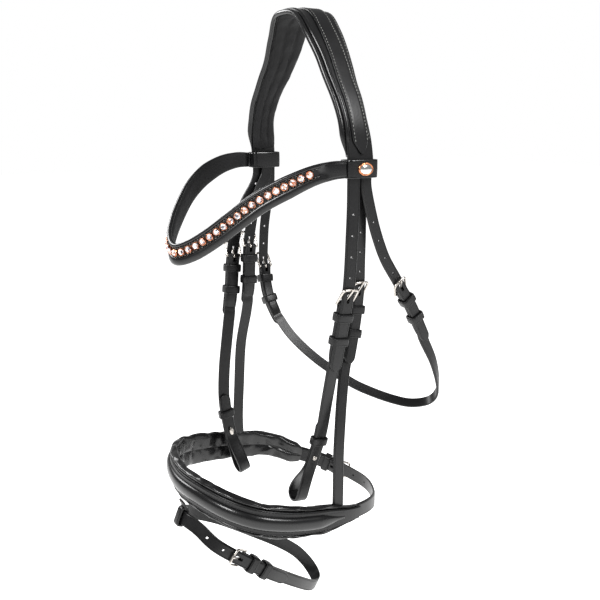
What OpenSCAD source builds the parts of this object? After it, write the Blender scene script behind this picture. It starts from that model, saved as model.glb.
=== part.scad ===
// Snaffle bridle with a padded crown, a swooped crystal browband, a padded noseband and a flash strap.
// Z is up and the horse faces -Y. +X is the horse's left, the near side. The origin is the middle
// of the crown's underside, where the bridle rests on the poll. Sizes are in millimetres.

/* [Overall] */
// Width between the two browband loops
head_w = 170; // [150:1:205]
// Depth of the noseband from nose to chin
head_d = 255; // [240:1:310]
// Height from the crown to the lowest point of the flash strap
head_h = 600; // [540:5:730]

/* [Straps] */
// Thickness of one layer of strap leather
strap_t = 2.4; // [2:0.1:3]
// Width of the cheek straps
cheek_w = 13; // [11:0.5:16]
// Width of the noseband hangers
hanger_w = 12; // [10:0.5:14]
// Width of the throatlatch
throat_w = 11; // [9:0.5:13]
// Width of the noseband rear strap
rear_w = 15; // [13:0.5:18]
// Width of the flash strap
flash_w = 13; // [11:0.5:16]
// Diameter of the punched holes
punch_d = 3.2; // [2.6:0.1:3.6]

/* [Headpiece] */
// Width of the crown over the poll
crown_w = 38; // [34:1:48]
// Thickness of the crown leather
crown_t = 2.6; // [2:0.1:3.4]
// Thickness of the crown padding
crown_pad_t = 5.5; // [4:0.5:7]
// Diameter of the rolled front edge
crown_roll_d = 6; // [4:0.5:7]

/* [Browband] */
// Height of the browband where it dips
brow_h = 20; // [17:0.5:24]
// Height of the browband loops
loop_h = 16; // [13:0.5:18]
// Diameter of one crystal
crystal_d = 5.4; // [4.4:0.1:6]
// Distance from one crystal to the next
crystal_pitch = 7.8; // [7.2:0.1:9]
// Crystals on each side of the middle one
crystal_side = 19; // [8:1:19]
// Width of the button on each browband loop
button_w = 14; // [10:0.5:15]

/* [Noseband] */
// Height of the padded noseband
nose_h = 35; // [30:1:42]
// Thickness of the noseband leather
nose_t = 3; // [2.4:0.1:3.6]
// Thickness of the noseband padding
nose_pad_t = 6.5; // [5.5:0.5:8]
// Height of the raised roll
nose_roll_h = 14; // [10:1:16]

/* [Buckles] */
// Wire diameter of the frames and bars
wire_d = 2.2; // [1.8:0.1:2.6]
// Opening of a frame from bar to crosspiece
frame_l = 14; // [12:0.5:17]
// Radius of a bit loop inside
bit_r = 6.5; // [5:0.5:8]

/* [Hidden] */

$fn = 32;
// The routes below were laid out for this head size, and follow the overall sizes above.
base_w = 170;
base_d = 255;
base_h = 600;
function fit(p) = [p.x * head_w / base_w, p.y * head_d / base_d, p.z * head_h / base_h];
function flip(points) = [for (i = [len(points) - 1:-1:0]) points[i]];
function mirrored(points) = [for (p = points) [-p.x, p.y, p.z]];

// Fits and clearances
running = 0.05;                     // between a bar and what turns on it
layer_gap = 0.3;                    // between two layers of leather
skin = 0.25;                        // between layers that are stitched together
keeper_gap = 0.6;                   // round the layers inside a keeper
keeper_t = 1.4;                     // thickness of keeper leather
bar_r = wire_d / 2;
trim = 0.2;                         // what laps another layer is this much narrower
eye_r = bar_r + running;            // hole in the chape for the bar
chape_r = eye_r + 1.7;              // outside of the fold round the bar
chape_l = 55;                       // length of the doubled end behind a buckle
billet_n = chape_r + layer_gap + strap_t / 2;   // height of a billet above the strap's middle
billet_top = billet_n + strap_t / 2;
frame_gap = 1;                      // between the billet and the crosspiece
cross_n = billet_top + frame_gap + bar_r;       // height of a frame's crosspiece
tongue_r = 0.9;
tongue_tilt = atan2(cross_n, frame_l) + asin((bar_r + tongue_r + 0.1) / norm([cross_n, frame_l]));
tongue_reach = (frame_l + 2.5) / cos(tongue_tilt);
tongue_slot = 3.2;                  // width of the slot that the tongue turns in
hole_pitch = 19;
tip_l = 7;
tail_l = 66;                        // length of a billet below the bar

// Level where the billets leave the crown, inside the browband loops
split_z = -132;
flex_gap = 1.5;

// ---- Routes: middle of each strap, top to bottom, for the base head size ----
crown_half = [[0, -7, 6], [20, -7, 3], [38, -8, -13], [52, -7, -33], [65, -7, -55],
    [75, -5.5, -74], [82, -4.5, -93], [84.5, -2.5, -112], [85.5, -1.75, -123], [85.5, -1.75, -132]];
crown_half_off = [[0, -7, 6], [18, -5, 3], [33, -2, -13], [47, -1, -33], [62, -3.5, -55],
    [74, -5, -74], [81.5, -4.5, -93], [84.5, -3, -112], [85.5, -1.75, -123], [85.5, -1.75, -132]];
brow_half = [[88, -18.5, -130], [84, -30, -131], [77, -46, -135.5], [67, -66, -145.5], [55, -86, -158],
    [43, -103, -173.5], [30, -119, -189], [16, -133, -201], [0, -141, -206]];
brow_half_off = [[88, -18.5, -130], [87.5, -33, -130], [85, -52, -134], [78.5, -74, -143.5], [68, -94, -157],
    [54, -111, -172.5], [38, -126, -188], [20, -137, -200], [0, -141, -206]];
cheek_near_route = [[83, -9, -133], [83, -9, -145], [83, -9, -165], [83, -10, -195], [82.5, -11, -225],
    [81.5, -13, -250], [78.5, -16.5, -280], [75, -20.5, -314], [71, -23.5, -345], [66, -28, -386],
    [60, -37, -423], [54.5, -42, -452]];
cheek_off_route = [[-81, -9, -133], [-81, -9, -146], [-81, -14, -158], [-81, -25, -175],
    [-81, -35, -198], [-80, -41, -218], [-80, -44, -240], [-79, -46, -260], [-78, -49, -280],
    [-75, -56, -319], [-73, -61, -352], [-71, -63, -385], [-70, -59, -416], [-70, -52, -446],
    [-70, -47, -464]];
hanger_near_route = [[77, 0, -133], [77, 1, -145], [75, 5, -165], [71.5, 8, -190], [68.5, 10, -215],
    [67, 11, -240], [66.5, 9, -268], [68, 3.3, -296], [71, -4.2, -323], [75, -9.6, -348], [79, -14, -373],
    [82, -17.3, -400], [83.2, -18.2, -430], [83.3, -18.6, -460]];
hanger_off_route = [[-77, -1, -133], [-77, -2, -146], [-75, -11, -161], [-71, -20, -178],
    [-68, -26, -198], [-66.5, -30, -218], [-66.5, -31, -240], [-68, -31.5, -264], [-73, -32.5, -290],
    [-79, -37, -328], [-82, -38.8, -376], [-83.8, -39.9, -414], [-84.7, -39, -436], [-85.1, -38.4, -452]];
throat_route = [[81.5, 6, -133], [81.5, 6, -146], [81, 12, -168], [80, 20, -190], [79, 31, -213],
    [78, 45, -233], [77, 57.5, -250], [76, 69.5, -266], [75, 80, -284], [74, 92.5, -306], [73, 106, -329],
    [70, 116, -352], [64, 122, -370], [55, 119, -382], [43, 105, -386], [30, 90, -383],
    [15, 71, -375], [0, 54, -365], [-25, 30, -344], [-45, 12, -322], [-58, 1, -301],
    [-68, -5, -280], [-75, -6, -262], [-79, -5, -243], [-80, -4, -222], [-81, -2, -200],
    [-82, 2, -178], [-82, 5.5, -156], [-82, 6, -145], [-82, 6, -133]];
nose_half = [[0, -144.5, -430], [34, -139, -431], [63, -125.5, -436], [80, -106, -443], [86.7, -82, -450],
    [88.4, -56.7, -456], [87.6, -29.5, -461], [83.3, 1, -466]];
nose_half_off = [[0, -144.5, -430], [34, -139, -430.5], [63, -125.5, -433], [80, -106, -438], [86.7, -82, -442.5],
    [88.4, -56.7, -446.5], [87.6, -29.5, -451], [83.3, 1, -458]];
rear_half = [[71.4, 30, -472], [52.7, 51.3, -479], [27.2, 65, -485], [0, 69, -487]];
flash_route = [[32, -116, -496], [35, -100, -509], [37, -75, -529], [32, -52, -548], [24, -25, -570],
    [13, -3, -588], [2, 11, -595], [-8, 14, -590], [-15, 8, -577], [-20, -4, -562], [-24, -25, -545],
    [-28, -60, -521], [-28, -92, -499], [-24, -120, -482], [-17, -136, -471], [-7, -145.5, -466],
    [7, -145.5, -466], [18, -136.5, -474], [27, -127, -486], [32, -116, -496], [35, -100, -509],
    [37, -75, -529], [32, -52, -548], [24, -25, -570]];

// Inside of a browband loop: it takes the cheek, hanger and throatlatch billets
loop_top = -122;
loop_low = [fit(hanger_near_route[0]).x + billet_n - strap_t / 2 - 1.15,
    fit(cheek_near_route[0]).y - cheek_w / 2 - 0.5];
loop_high = [fit(cheek_near_route[0]).x + billet_top + 2.4, fit(throat_route[0]).y + throat_w / 2 + 1];

// ---- Smooth curves ----
// A route is a list of [point, distance along it]; the curve passes through every chosen point.
steps = 6;
function spline(a, b, c, d, t) = 0.5 * (2 * b + (c - a) * t + (2 * a - 5 * b + 4 * c - d) * t * t
    + (3 * b - a - 3 * c + d) * t * t * t);
function pick(p, i) = i < 0 ? 2 * p[0] - p[1]
    : i >= len(p) ? 2 * p[len(p) - 1] - p[len(p) - 2] : p[i];
function dense(p) = [for (i = [0:len(p) - 2]) for (j = [0:steps - 1])
        spline(pick(p, i - 1), p[i], p[i + 1], pick(p, i + 2), j / steps), p[len(p) - 1]];
function measured(p, i = 0, s = 0, out = []) = i == len(p) ? out
    : measured(p, i + 1, i + 1 < len(p) ? s + norm(p[i + 1] - p[i]) : s, concat(out, [[p[i], s]]));
// Distance 0 is at the point numbered lead, so a closed strap's start has its true direction.
function route(points, lead = 0) = let (d = dense([for (p = points) fit(p)]))
    measured(d, 0, -reach(d, lead * steps));
function reach(d, n) = n == 0 ? 0 : norm(d[n] - d[n - 1]) + reach(d, n - 1);
function total(r) = r[len(r) - 1][1];
function spot(r, s, lo, hi) = hi - lo <= 1 ? lo
    : let (mid = floor((lo + hi) / 2)) r[mid][1] <= s ? spot(r, s, mid, hi) : spot(r, s, lo, mid);
function at(r, s) = let (i = spot(r, s, 0, len(r) - 1), k = (s - r[i][1]) / (r[i + 1][1] - r[i][1]))
    r[i][0] + (r[i + 1][0] - r[i][0]) * k;
function along(r, s) = let (d = at(r, s + 2) - at(r, s - 2)) d / norm(d);
function unit(v) = v / norm(v);

// Across directions: each is a list of [distance share, direction], blended from one to the next.
function lean(h, k, i = 0) = i >= len(h) - 1 ? h[len(h) - 1][1] : k <= h[i + 1][0]
    ? let (t = max(0, (k - h[i][0]) / (h[i + 1][0] - h[i][0]))) h[i][1] * (1 - t) + h[i + 1][1] * t
    : lean(h, k, i + 1);
function across(r, h, s) = let (t = along(r, s), w = lean(h, s / total(r))) unit(w - t * (w * t));
function outward(r, h, s) = cross(along(r, s), across(r, h, s));

near_h = [[0, [0, 1, 0]], [1, [0, 1, 0]]];
off_h = [[0, [0, -1, 0]], [1, [0, -1, 0]]];
throat_h = [[0, [0, 1, 0]], [0.30, [0, 0.9, 0.4]], [0.42, [-0.7, 0.5, 0.5]], [0.55, [-0.5, 0.6, 0.6]],
    [0.75, [-0.1, 1, 0.3]], [1, [0, 1, 0]]];
band_h = [[0, [0, 0, 1]], [1, [0, 0, 1]]];
flash_h = [[0, [0, 0.63, 0.77]], [0.55, [0, 0.4, 0.9]], [0.67, [0, 0.35, 0.94]], [0.75, [0, 0.63, 0.77]],
    [1, [0, 0.63, 0.77]]];

// A strap: rings are [distance, lower face, upper face, width, shift across].
module ribbon(r, h, rings) {
    corners = [for (g = rings) let (p = at(r, g[0]), w = across(r, h, g[0]), n = outward(r, h, g[0]),
            m = len(g) > 4 ? g[4] : 0)
        for (c = [[-0.5, g[1]], [0.5, g[1]], [0.5, g[2]], [-0.5, g[2]]]) p + w * (c[0] * g[3] + m) + n * c[1]];
    last = 4 * (len(rings) - 1);
    // Both faces are split along the same diagonal, so that stacked layers keep their gap.
    sides = [for (i = [0:len(rings) - 2]) for (j = [0:3]) let (a = 4 * i + j, b = 4 * i + (j + 1) % 4)
        each j < 2 ? [[a, a + 4, b], [b, a + 4, b + 4]] : [[a, a + 4, b + 4], [a, b + 4, b]]];
    polyhedron(corners, concat(sides, [[0, 1, 2], [0, 2, 3], [last, last + 2, last + 1],
        [last, last + 3, last + 2]]));
}
function even(a, b, step) = let (n = max(2, round(abs(b - a) / step))) [for (i = [0:n]) a + (b - a) * i / n];
function within(g, a, b) = [for (s = g) if (s >= a && s <= b) s];
function plain(a, b, n0, n1, w, step = 7) = [for (s = even(a, b, step)) [s, n0, n1, w]];
// A strap end that narrows to a point over tip_l
function pointed(a, b, n0, n1, w) = concat(plain(a, b - tip_l, n0, n1, w),
    [[b - tip_l * 0.4, n0, n1, w * 0.75], [b - tip_l * 0.1, n0, n1, w * 0.4], [b, n0, n1, w * 0.15]]);

// Puts children in the strap's own axes: X across, Y back up the strap, Z outward.
module on(r, h, s) {
    p = at(r, s);
    w = across(r, h, s);
    n = outward(r, h, s);
    u = along(r, s) * -1;
    multmatrix([[w.x, u.x, n.x, p.x], [w.y, u.y, n.y, p.y], [w.z, u.z, n.z, p.z], [0, 0, 0, 1]]) children();
}
module across_cylinder(r, l) rotate([0, 90, 0]) cylinder(r = r, h = l, center = true);

// ---- Buckle pieces, in the strap's own axes with the bar at the origin ----
function frame_half(w) = w / 2 + 0.7 + bar_r;
module buckle_frame(w) {
    a = frame_half(w);
    leg_r = bar_r + 0.2;
    tilt = atan2(cross_n, frame_l);
    across_cylinder(bar_r, 2 * a);
    translate([0, frame_l, cross_n]) across_cylinder(bar_r, 2 * a);
    for (side = [-1, 1]) translate([side * a - wire_d / 2, 0, 0]) rotate([90, 0, 90])
        linear_extrude(wire_d) {
            circle(leg_r);
            translate([frame_l, cross_n]) circle(leg_r);
            rotate(tilt) translate([0, -leg_r]) square([norm([frame_l, cross_n]), 2 * leg_r]);
        }
}
module buckle_tongue() {
    difference() {
        union() {
            across_cylinder(eye_r + 1.2, tongue_slot - 0.8);
            rotate([tongue_tilt - 90, 0, 0]) cylinder(r = tongue_r, h = tongue_reach);
            rotate([tongue_tilt - 90, 0, 0]) translate([0, 0, tongue_reach]) sphere(tongue_r);
        }
        across_cylinder(eye_r, 2 * tongue_slot);
    }
}
// The doubled end that holds the bar: cut out of a strap and drilled for the bar and tongue.
module chape_end(w) across_cylinder(chape_r, w - trim);
module chape_cuts(w) {
    across_cylinder(eye_r, w + 2);
    translate([-tongue_slot / 2, -6, -chape_r - 1]) cube([tongue_slot, 12, 2 * chape_r + 2]);
}
// Slot in the billet that lets the tongue through and gives it room to lift
lift = 10;
slot_low = (billet_n - strap_t / 2) / tan(tongue_tilt + lift) - 2.6 * tongue_r;
slot_high = billet_top / tan(tongue_tilt) + 2.6 * tongue_r;
module billet_slot() {
    d = punch_d;
    y0 = slot_low;
    y1 = slot_high;
    translate([0, 0, billet_n - strap_t]) {
        translate([0, y0 + d / 2, 0]) cylinder(d = d, h = 2 * strap_t);
        translate([0, y1 - d / 2, 0]) cylinder(d = d, h = 2 * strap_t);
        translate([-d / 2, y0 + d / 2, 0]) cube([d, y1 - y0 - d, 2 * strap_t]);
    }
}
// Rectangular keeper round the layers between n0 and n1
module keeper(w, n0, n1, l) {
    wide = w + 2 * keeper_gap;
    tall = n1 - n0 + 2 * keeper_gap;
    translate([0, 0, (n0 + n1) / 2]) rotate([90, 0, 0]) linear_extrude(l, center = true) difference() {
        square([wide + 2 * keeper_t, tall + 2 * keeper_t], center = true);
        square([wide, tall], center = true);
    }
}
keeper_l = 8;
runner_l = 8;
module buckle_keeper(w, l) keeper(w, -strap_t, billet_top, l);

// ---- A strap with a buckle: bar at distance s ----
module billet(r, h, from, bar, w, holes, tail = tail_l) {
    difference() {
        ribbon(r, h, pointed(from, bar + tail, billet_n - strap_t / 2, billet_top, w));
        on(r, h, bar) billet_slot();
        for (i = [1:holes]) on(r, h, bar - (slot_low + slot_high) / 2 - i * hole_pitch)
            translate([0, 0, billet_n]) cylinder(d = punch_d, h = 3 * strap_t, center = true);
    }
}
// Rings of a strap whose end is doubled back over the bar, then single to the far end
thin = 6;                            // length over which the folded end is skived away
function chaped(bar, end, w) = concat(plain(bar, bar + chape_l - thin, -strap_t, strap_t, w),
    plain(bar + chape_l, end, -strap_t / 2, strap_t / 2, w));
module chaped_strap(r, h, bar, end, w) {
    difference() {
        union() {
            on(r, h, bar) chape_end(w);
            ribbon(r, h, chaped(bar, end, w));
        }
        on(r, h, bar) chape_cuts(w);
    }
}

// ---- Headpiece ----
crown_route = route(concat(mirrored(flip(crown_half_off)), [for (i = [1:len(crown_half) - 1]) crown_half[i]]));
crown_hint = [[0, [0, 1, 0]], [1, [0, 1, 0]]];
crown_len = total(crown_route);
crown_mid = crown_len / 2;
crown_end_y = fit(crown_half[len(crown_half) - 1]).y;
// Width of the crown inside the browband loops
crown_end = 2 * min(loop_high.y - crown_end_y, crown_end_y - loop_low.y) - 1.5;
// The crown is widest over the poll and drawn in at the waist above each browband loop
crown_shape = [[0, crown_w], [0.25, crown_w - 3], [0.45, crown_w - 8], [0.6, crown_w - 11.5],
    [0.75, crown_w - 13.5], [0.87, crown_end], [1, crown_end]];
function crown_width(s) = lookup(abs(s - crown_mid) / crown_mid, crown_shape);
pad_stop = (loop_top - split_z) * head_h / base_h + 3;   // padding ends just above the browband loops
crown_rings = even(0, crown_len, 9);
module crown_leather() color("#1b1b1d")
    ribbon(crown_route, crown_hint, [for (s = crown_rings) [s, 0, crown_t, crown_width(s)]]);
module crown_padding() color("#141416")
    ribbon(crown_route, crown_hint, [for (s = within(crown_rings, pad_stop, crown_len - pad_stop))
        [s, -crown_pad_t, -skin, crown_width(s) - 1]]);
module crown_rolled_edge() color("#202023")
    ribbon(crown_route, crown_hint, [for (s = within(crown_rings, pad_stop, crown_len - pad_stop))
        [s, -crown_roll_d / 2, crown_roll_d / 2, crown_roll_d, -(crown_width(s) + crown_roll_d) / 2 - 0.2]]);
overlay_l = 66;
overlay_w = 17;
overlay_from = pad_stop + 1;         // its point sits just above the browband loop
module crown_overlays() color("#242427") for (side = [0, 1]) {
    start = side == 0 ? overlay_l + overlay_from : crown_len - overlay_l - overlay_from;
    step = side == 0 ? -1 : 1;
    ribbon(crown_route, crown_hint, sorted([for (k = [0:0.1:1]) [start + step * k * overlay_l,
        crown_t + skin, crown_t + skin + 1.5, k > 0.8 ? overlay_w * (1.02 - k) / 0.22 : overlay_w, 1]]));
}
function sorted(g) = g[0][0] < g[1][0] ? g : flip(g);

// ---- Browband ----
brow_route = route(concat(mirrored(brow_half_off), [for (i = [len(brow_half) - 2:-1:0]) brow_half[i]]));
brow_len = total(brow_route);
function brow_height(s) = let (k = abs(s - brow_len / 2) / (brow_len / 2))
    k > 0.7 ? loop_h - 1 + (brow_h - loop_h + 1) * (1 - (k - 0.7) / 0.3) : brow_h;
brow_rings = even(0, brow_len, 7);
brow_t = 2.2;
brow_pad_t = 2.6;
loop_t = 2;
module browband_strap() color("#19191b")
    ribbon(brow_route, band_h, [for (s = brow_rings) [s, 0, brow_t, brow_height(s)]]);
module browband_lining() color("#121214")
    ribbon(brow_route, band_h, [for (s = within(brow_rings, 7, brow_len - 7)) [s, -brow_pad_t, -skin, brow_height(s) - 2]]);
module browband_loops() color("#19191b") for (side = [-1, 1]) {
    hole = loop_high - loop_low;
    translate([side > 0 ? loop_low.x : -loop_high.x, loop_low.y, loop_top * head_h / base_h - loop_h])
        linear_extrude(loop_h) difference() {
            translate([-loop_t, -loop_t]) square([hole.x + 2 * loop_t, hole.y + 2 * loop_t]);
            square([hole.x, hole.y]);
        }
}
crystal_lift = brow_t + 0.3;
crystal_up = 2;                     // the row sits above the middle of the band
function crystal_at(i) = brow_len / 2 + i * crystal_pitch;
module crystal_cups() color("#c98f78") for (i = [-crystal_side:crystal_side])
    on(brow_route, band_h, crystal_at(i)) translate([crystal_up, 0, crystal_lift]) difference() {
        cylinder(d = crystal_d + 1.4, h = 2.6, $fn = 16);
        translate([0, 0, 0.8]) cylinder(d = crystal_d + 0.1, h = 3, $fn = 16);
    }
module crystals() color("#f2f4f8") for (i = [-crystal_side:crystal_side])
    on(brow_route, band_h, crystal_at(i)) translate([crystal_up, 0, crystal_lift + 0.9]) {
        cylinder(d = crystal_d, h = 1.6, $fn = 16);
        translate([0, 0, 1.6]) cylinder(d1 = crystal_d, d2 = crystal_d * 0.55, h = 1.1, $fn = 16);
    }
module at_buttons() for (side = [-1, 1])
    translate([side * (loop_high.x + loop_t + 0.1), -head_d / base_d,
        loop_top * head_h / base_h - loop_h / 2]) rotate([0, side * 90, 0]) children();
button_r = min(button_w, loop_h - 1) / 2;
module button_rims() color("#c9713a") at_buttons() difference() {
    cylinder(r = button_r, h = 2.2);
    translate([0, 0, 0.8]) cylinder(r = button_r - 1.2, h = 3);
}
module button_domes() color("#e6e4e0") at_buttons() translate([0, 0, 0.9]) intersection() {
    cylinder(r = button_r - 1.3, h = 4);
    translate([0, 0, 3 - 2 * button_r]) sphere(2 * button_r, $fn = 48);
}

// ---- Cheeks ----
cheek_near = route(cheek_near_route);
cheek_off = route(cheek_off_route);
// Bars sit this far down each side
cheek_bar_near = 118 * head_h / base_h;
cheek_bar_off = 104 * head_h / base_h;
function cheek_end(r) = total(r) - 3;
hook_up = 44;                        // hook stud above the bit loop's middle
fold_up = 84;                        // folded end's tip above the bit loop's middle
fold_n = strap_t / 2 + 0.1;
function fold_top(r) = cheek_end(r) - fold_up;
loop_mid_n = -bit_r - strap_t / 2;   // middle of the bit loop, inward of the strap
module bit_loop(w) translate([0, 0, loop_mid_n]) rotate([0, 90, 0]) linear_extrude(w, center = true)
    difference() {
        circle(bit_r + strap_t, $fn = 64);
        circle(bit_r, $fn = 64);
        translate([-bit_r - 4, -bit_r - 4]) translate([0, bit_r + 4]) square([2 * bit_r + 8, bit_r + 8]);
    }
module cheekpiece(r, h, bar, end) {
    w = cheek_w;
    inner = 2 * loop_mid_n;
    near_n = -strap_t - 0.1;
    lap = [for (k = [0:0.1:1]) let (n = inner + (near_n - inner) * (3 * k * k - 2 * k * k * k))
        [end + 0.3 - (hook_up - 6) * k, n - strap_t / 2, n + strap_t / 2, w - trim]];
    point = pointed_back(end - hook_up, end - fold_up, near_n - strap_t / 2, near_n + strap_t / 2, w - trim);
    difference() {
        union() {
            on(r, h, bar) chape_end(w);
            ribbon(r, h, chaped(bar, end + 0.3, w));
            on(r, h, end) bit_loop(w - 2 * trim);
            ribbon(r, h, concat(point, flip(lap)));
        }
        on(r, h, bar) chape_cuts(w);
        on(r, h, end - hook_up) cylinder(r = stud_r + running, h = 20, center = true);
    }
}
// The same point as on a billet, for an end that runs back up the strap
function pointed_back(a, b, n0, n1, w) = flip(concat(plain(a, b + tip_l, n0, n1, w),
    [[b + tip_l * 0.4, n0, n1, w * 0.75], [b + tip_l * 0.1, n0, n1, w * 0.4], [b, n0, n1, w * 0.15]]));
stud_r = 1.2;
module hook_stud(r, h, end) on(r, h, end - hook_up) {
    inner = -2 * strap_t - 0.4;
    translate([0, 0, inner - 1.5]) cylinder(r = stud_r, h = strap_t / 2 + 0.9 - inner + 1.5);
    translate([0, 0, strap_t / 2 + 0.2]) cylinder(r = 2.6, h = 0.8);
    translate([-2.2, -7, inner - 1.5]) cube([4.4, 9, 1.2]);
}
module cheek_keepers(r, h, bar, end) {
    on(r, h, bar + 13) buckle_keeper(cheek_w, keeper_l);
    on(r, h, end - 62) keeper(cheek_w, -strap_t * 1.5 - 0.1, strap_t / 2, keeper_l);
}
module cheek_billet_near() color("#1c1c1e")
    billet(cheek_near, near_h, flex_gap, cheek_bar_near, cheek_w, 4);
module cheek_billet_off() color("#1c1c1e")
    billet(cheek_off, off_h, flex_gap, cheek_bar_off, cheek_w, 4);
module cheekpiece_near() color("#1a1a1c") cheekpiece(cheek_near, near_h, cheek_bar_near, cheek_end(cheek_near));
module cheekpiece_off() color("#1a1a1c") cheekpiece(cheek_off, off_h, cheek_bar_off, cheek_end(cheek_off));
module cheek_buckle_near() color("#c8c8c8") on(cheek_near, near_h, cheek_bar_near) buckle_frame(cheek_w);
module cheek_buckle_off() color("#c8c8c8") on(cheek_off, off_h, cheek_bar_off) buckle_frame(cheek_w);
module cheek_tongue_near() color("#d4d4d4") on(cheek_near, near_h, cheek_bar_near) buckle_tongue();
module cheek_tongue_off() color("#d4d4d4") on(cheek_off, off_h, cheek_bar_off) buckle_tongue();
module cheek_keepers_near() color("#161618") cheek_keepers(cheek_near, near_h, cheek_bar_near, cheek_end(cheek_near));
module cheek_keepers_off() color("#161618") cheek_keepers(cheek_off, off_h, cheek_bar_off, cheek_end(cheek_off));
runner_at = 36;                      // runner below the bar
module cheek_runner_near() color("#161618") on(cheek_near, near_h, cheek_bar_near + runner_at)
    buckle_keeper(cheek_w, runner_l);
module cheek_runner_off() color("#161618") on(cheek_off, off_h, cheek_bar_off + runner_at)
    buckle_keeper(cheek_w, runner_l);
module hook_stud_near() color("#bdbdbd") hook_stud(cheek_near, near_h, cheek_end(cheek_near));
module hook_stud_off() color("#bdbdbd") hook_stud(cheek_off, off_h, cheek_end(cheek_off));

// ---- Noseband hangers ----
hanger_near = route(hanger_near_route);
hanger_off = route(hanger_off_route);
hanger_bar_near = 118 * head_h / base_h;
hanger_bar_off = 92 * head_h / base_h;
module noseband_billet_near() color("#1c1c1e")
    billet(hanger_near, near_h, flex_gap, hanger_bar_near, hanger_w, 3);
module noseband_billet_off() color("#1c1c1e")
    billet(hanger_off, off_h, flex_gap, hanger_bar_off, hanger_w, 3);
module noseband_hanger_near() color("#1a1a1c")
    chaped_strap(hanger_near, near_h, hanger_bar_near, total(hanger_near) - 1, hanger_w);
module noseband_hanger_off() color("#1a1a1c")
    chaped_strap(hanger_off, off_h, hanger_bar_off, total(hanger_off) - 1, hanger_w);
module hanger_buckle_near() color("#c8c8c8") on(hanger_near, near_h, hanger_bar_near) buckle_frame(hanger_w);
module hanger_buckle_off() color("#c8c8c8") on(hanger_off, off_h, hanger_bar_off) buckle_frame(hanger_w);
module hanger_tongue_near() color("#d4d4d4") on(hanger_near, near_h, hanger_bar_near) buckle_tongue();
module hanger_tongue_off() color("#d4d4d4") on(hanger_off, off_h, hanger_bar_off) buckle_tongue();
module hanger_runner_near() color("#161618") on(hanger_near, near_h, hanger_bar_near + runner_at)
    buckle_keeper(hanger_w, runner_l);
module hanger_runner_off() color("#161618") on(hanger_off, off_h, hanger_bar_off + runner_at)
    buckle_keeper(hanger_w, runner_l);
module hanger_keepers() color("#161618") {
    on(hanger_near, near_h, hanger_bar_near + 13) buckle_keeper(hanger_w, keeper_l);
    on(hanger_off, off_h, hanger_bar_off + 13) buckle_keeper(hanger_w, keeper_l);
}

// ---- Noseband ----
rear_bar_point = [[-35.7, 61.5, -484]];
nose_ring = concat([rear_half[3]], rear_bar_point, mirrored([for (i = [1, 0]) rear_half[i]]), mirrored(flip(nose_half_off)),
    [for (i = [1:len(nose_half) - 1]) nose_half[i]], rear_half, rear_bar_point,
    mirrored([for (i = [1, 0]) rear_half[i]]), [[-83.3, 1, -460]]);
nose_route = route(nose_ring, 1);
ring_len = near_match(nose_route, fit(rear_bar_point[0]), total(nose_route) * 0.7);
function near_match(r, p, s) = let (d = [for (g = r) if (g[1] > s) [norm(g[0] - p), g[1]]], m = min([for (e = d) e[0]]))
    [for (e = d) if (e[0] == m) e[1]][0];
pad_from = 40;                       // padded part starts this far from the rear bar
pad_to = ring_len - 149;             // and ends on the near side here
nose_end_w = rear_w + 2;
near_ramp = 40;                      // length over which the near end narrows
nose_taper = 0.26;                   // the ends are this much lower than the front
function nose_body(s) = let (mid = (pad_from + pad_to) / 2)
    nose_h * (1 - nose_taper * pow((s - mid) / (pad_to - mid), 2));
function nose_width(s) = let (k = s < pad_from + 14 ? max(0, s - pad_from) / 14
        : s > pad_to - near_ramp ? max(0, pad_to - s) / near_ramp : 1)
    nose_end_w + (nose_body(s) - nose_end_w) * k;
rear_from = ring_len - 164;          // rear strap starts under the padded part's end
rear_tail = 62;
roll_from = max(pad_from + 16, rear_tail + 4);
nose_rings = even(pad_from, pad_to, 9);
// The leather stays below the rear strap's tip
function nose_top(s) = s < roll_from ? min(nose_t, chape_r) : nose_t;
module noseband_leather() color("#17171a") difference() {
    union() {
        on(nose_route, band_h, 0) chape_end(rear_w);
        ribbon(nose_route, band_h, concat(plain(0, pad_from - 4, -strap_t, strap_t, rear_w),
            [for (s = nose_rings) [s, 0, nose_top(s), nose_width(s)]]));
    }
    on(nose_route, band_h, 0) chape_cuts(rear_w);
}
module noseband_roll() color("#1e1e21") {
    r = nose_route;
    ribbon(r, band_h, [for (s = within(nose_rings, roll_from, pad_to - 22))
        [s, nose_t + skin, nose_t + 4, nose_roll_h]]);
}
pocket_gap = 1;
hanger_seat = 24;                    // length of hanger inside the noseband
module noseband_padding() color("#121214") difference() {
    ribbon(nose_route, band_h, [for (s = within(nose_rings, pad_from + 4, rear_from - 1))
        [s, -nose_pad_t, -skin, nose_width(s) - 1]]);
    hanger_pocket(hanger_near, near_h);
    hanger_pocket(hanger_off, off_h);
}
module hanger_pocket(r, h) on(r, h, total(r) - hanger_seat)
    translate([-hanger_w / 2 - pocket_gap, -hanger_seat - 1, -strap_t / 2 - pocket_gap])
        cube([hanger_w + 2 * pocket_gap, hanger_seat + 20, 20]);
rear_rise = 60;
function rear_n(s) = let (k = min(1, max(0, (s - (ring_len - rear_rise - 30)) / rear_rise)))
    -strap_t / 2 - 0.1 + (billet_n + strap_t / 2 + 0.1) * (3 * k * k - 2 * k * k * k);
module noseband_rear_strap() color("#1a1a1c") {
    full = [for (s = even(rear_from, ring_len + rear_tail - tip_l, 7))
        [s, rear_n(s) - strap_t / 2, rear_n(s) + strap_t / 2, rear_w]];
    end = ring_len + rear_tail;
    difference() {
        ribbon(nose_route, band_h, concat(full, [for (k = [[0.4, 0.75], [0.1, 0.4], [0, 0.15]])
            [end - tip_l * k[0], billet_n - strap_t / 2, billet_top, rear_w * k[1]]]));
        on(nose_route, band_h, ring_len) billet_slot();
        for (i = [1:2]) on(nose_route, band_h, ring_len - (slot_low + slot_high) / 2 - i * hole_pitch)
            cylinder(d = punch_d, h = 40, center = true);
    }
}
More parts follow.
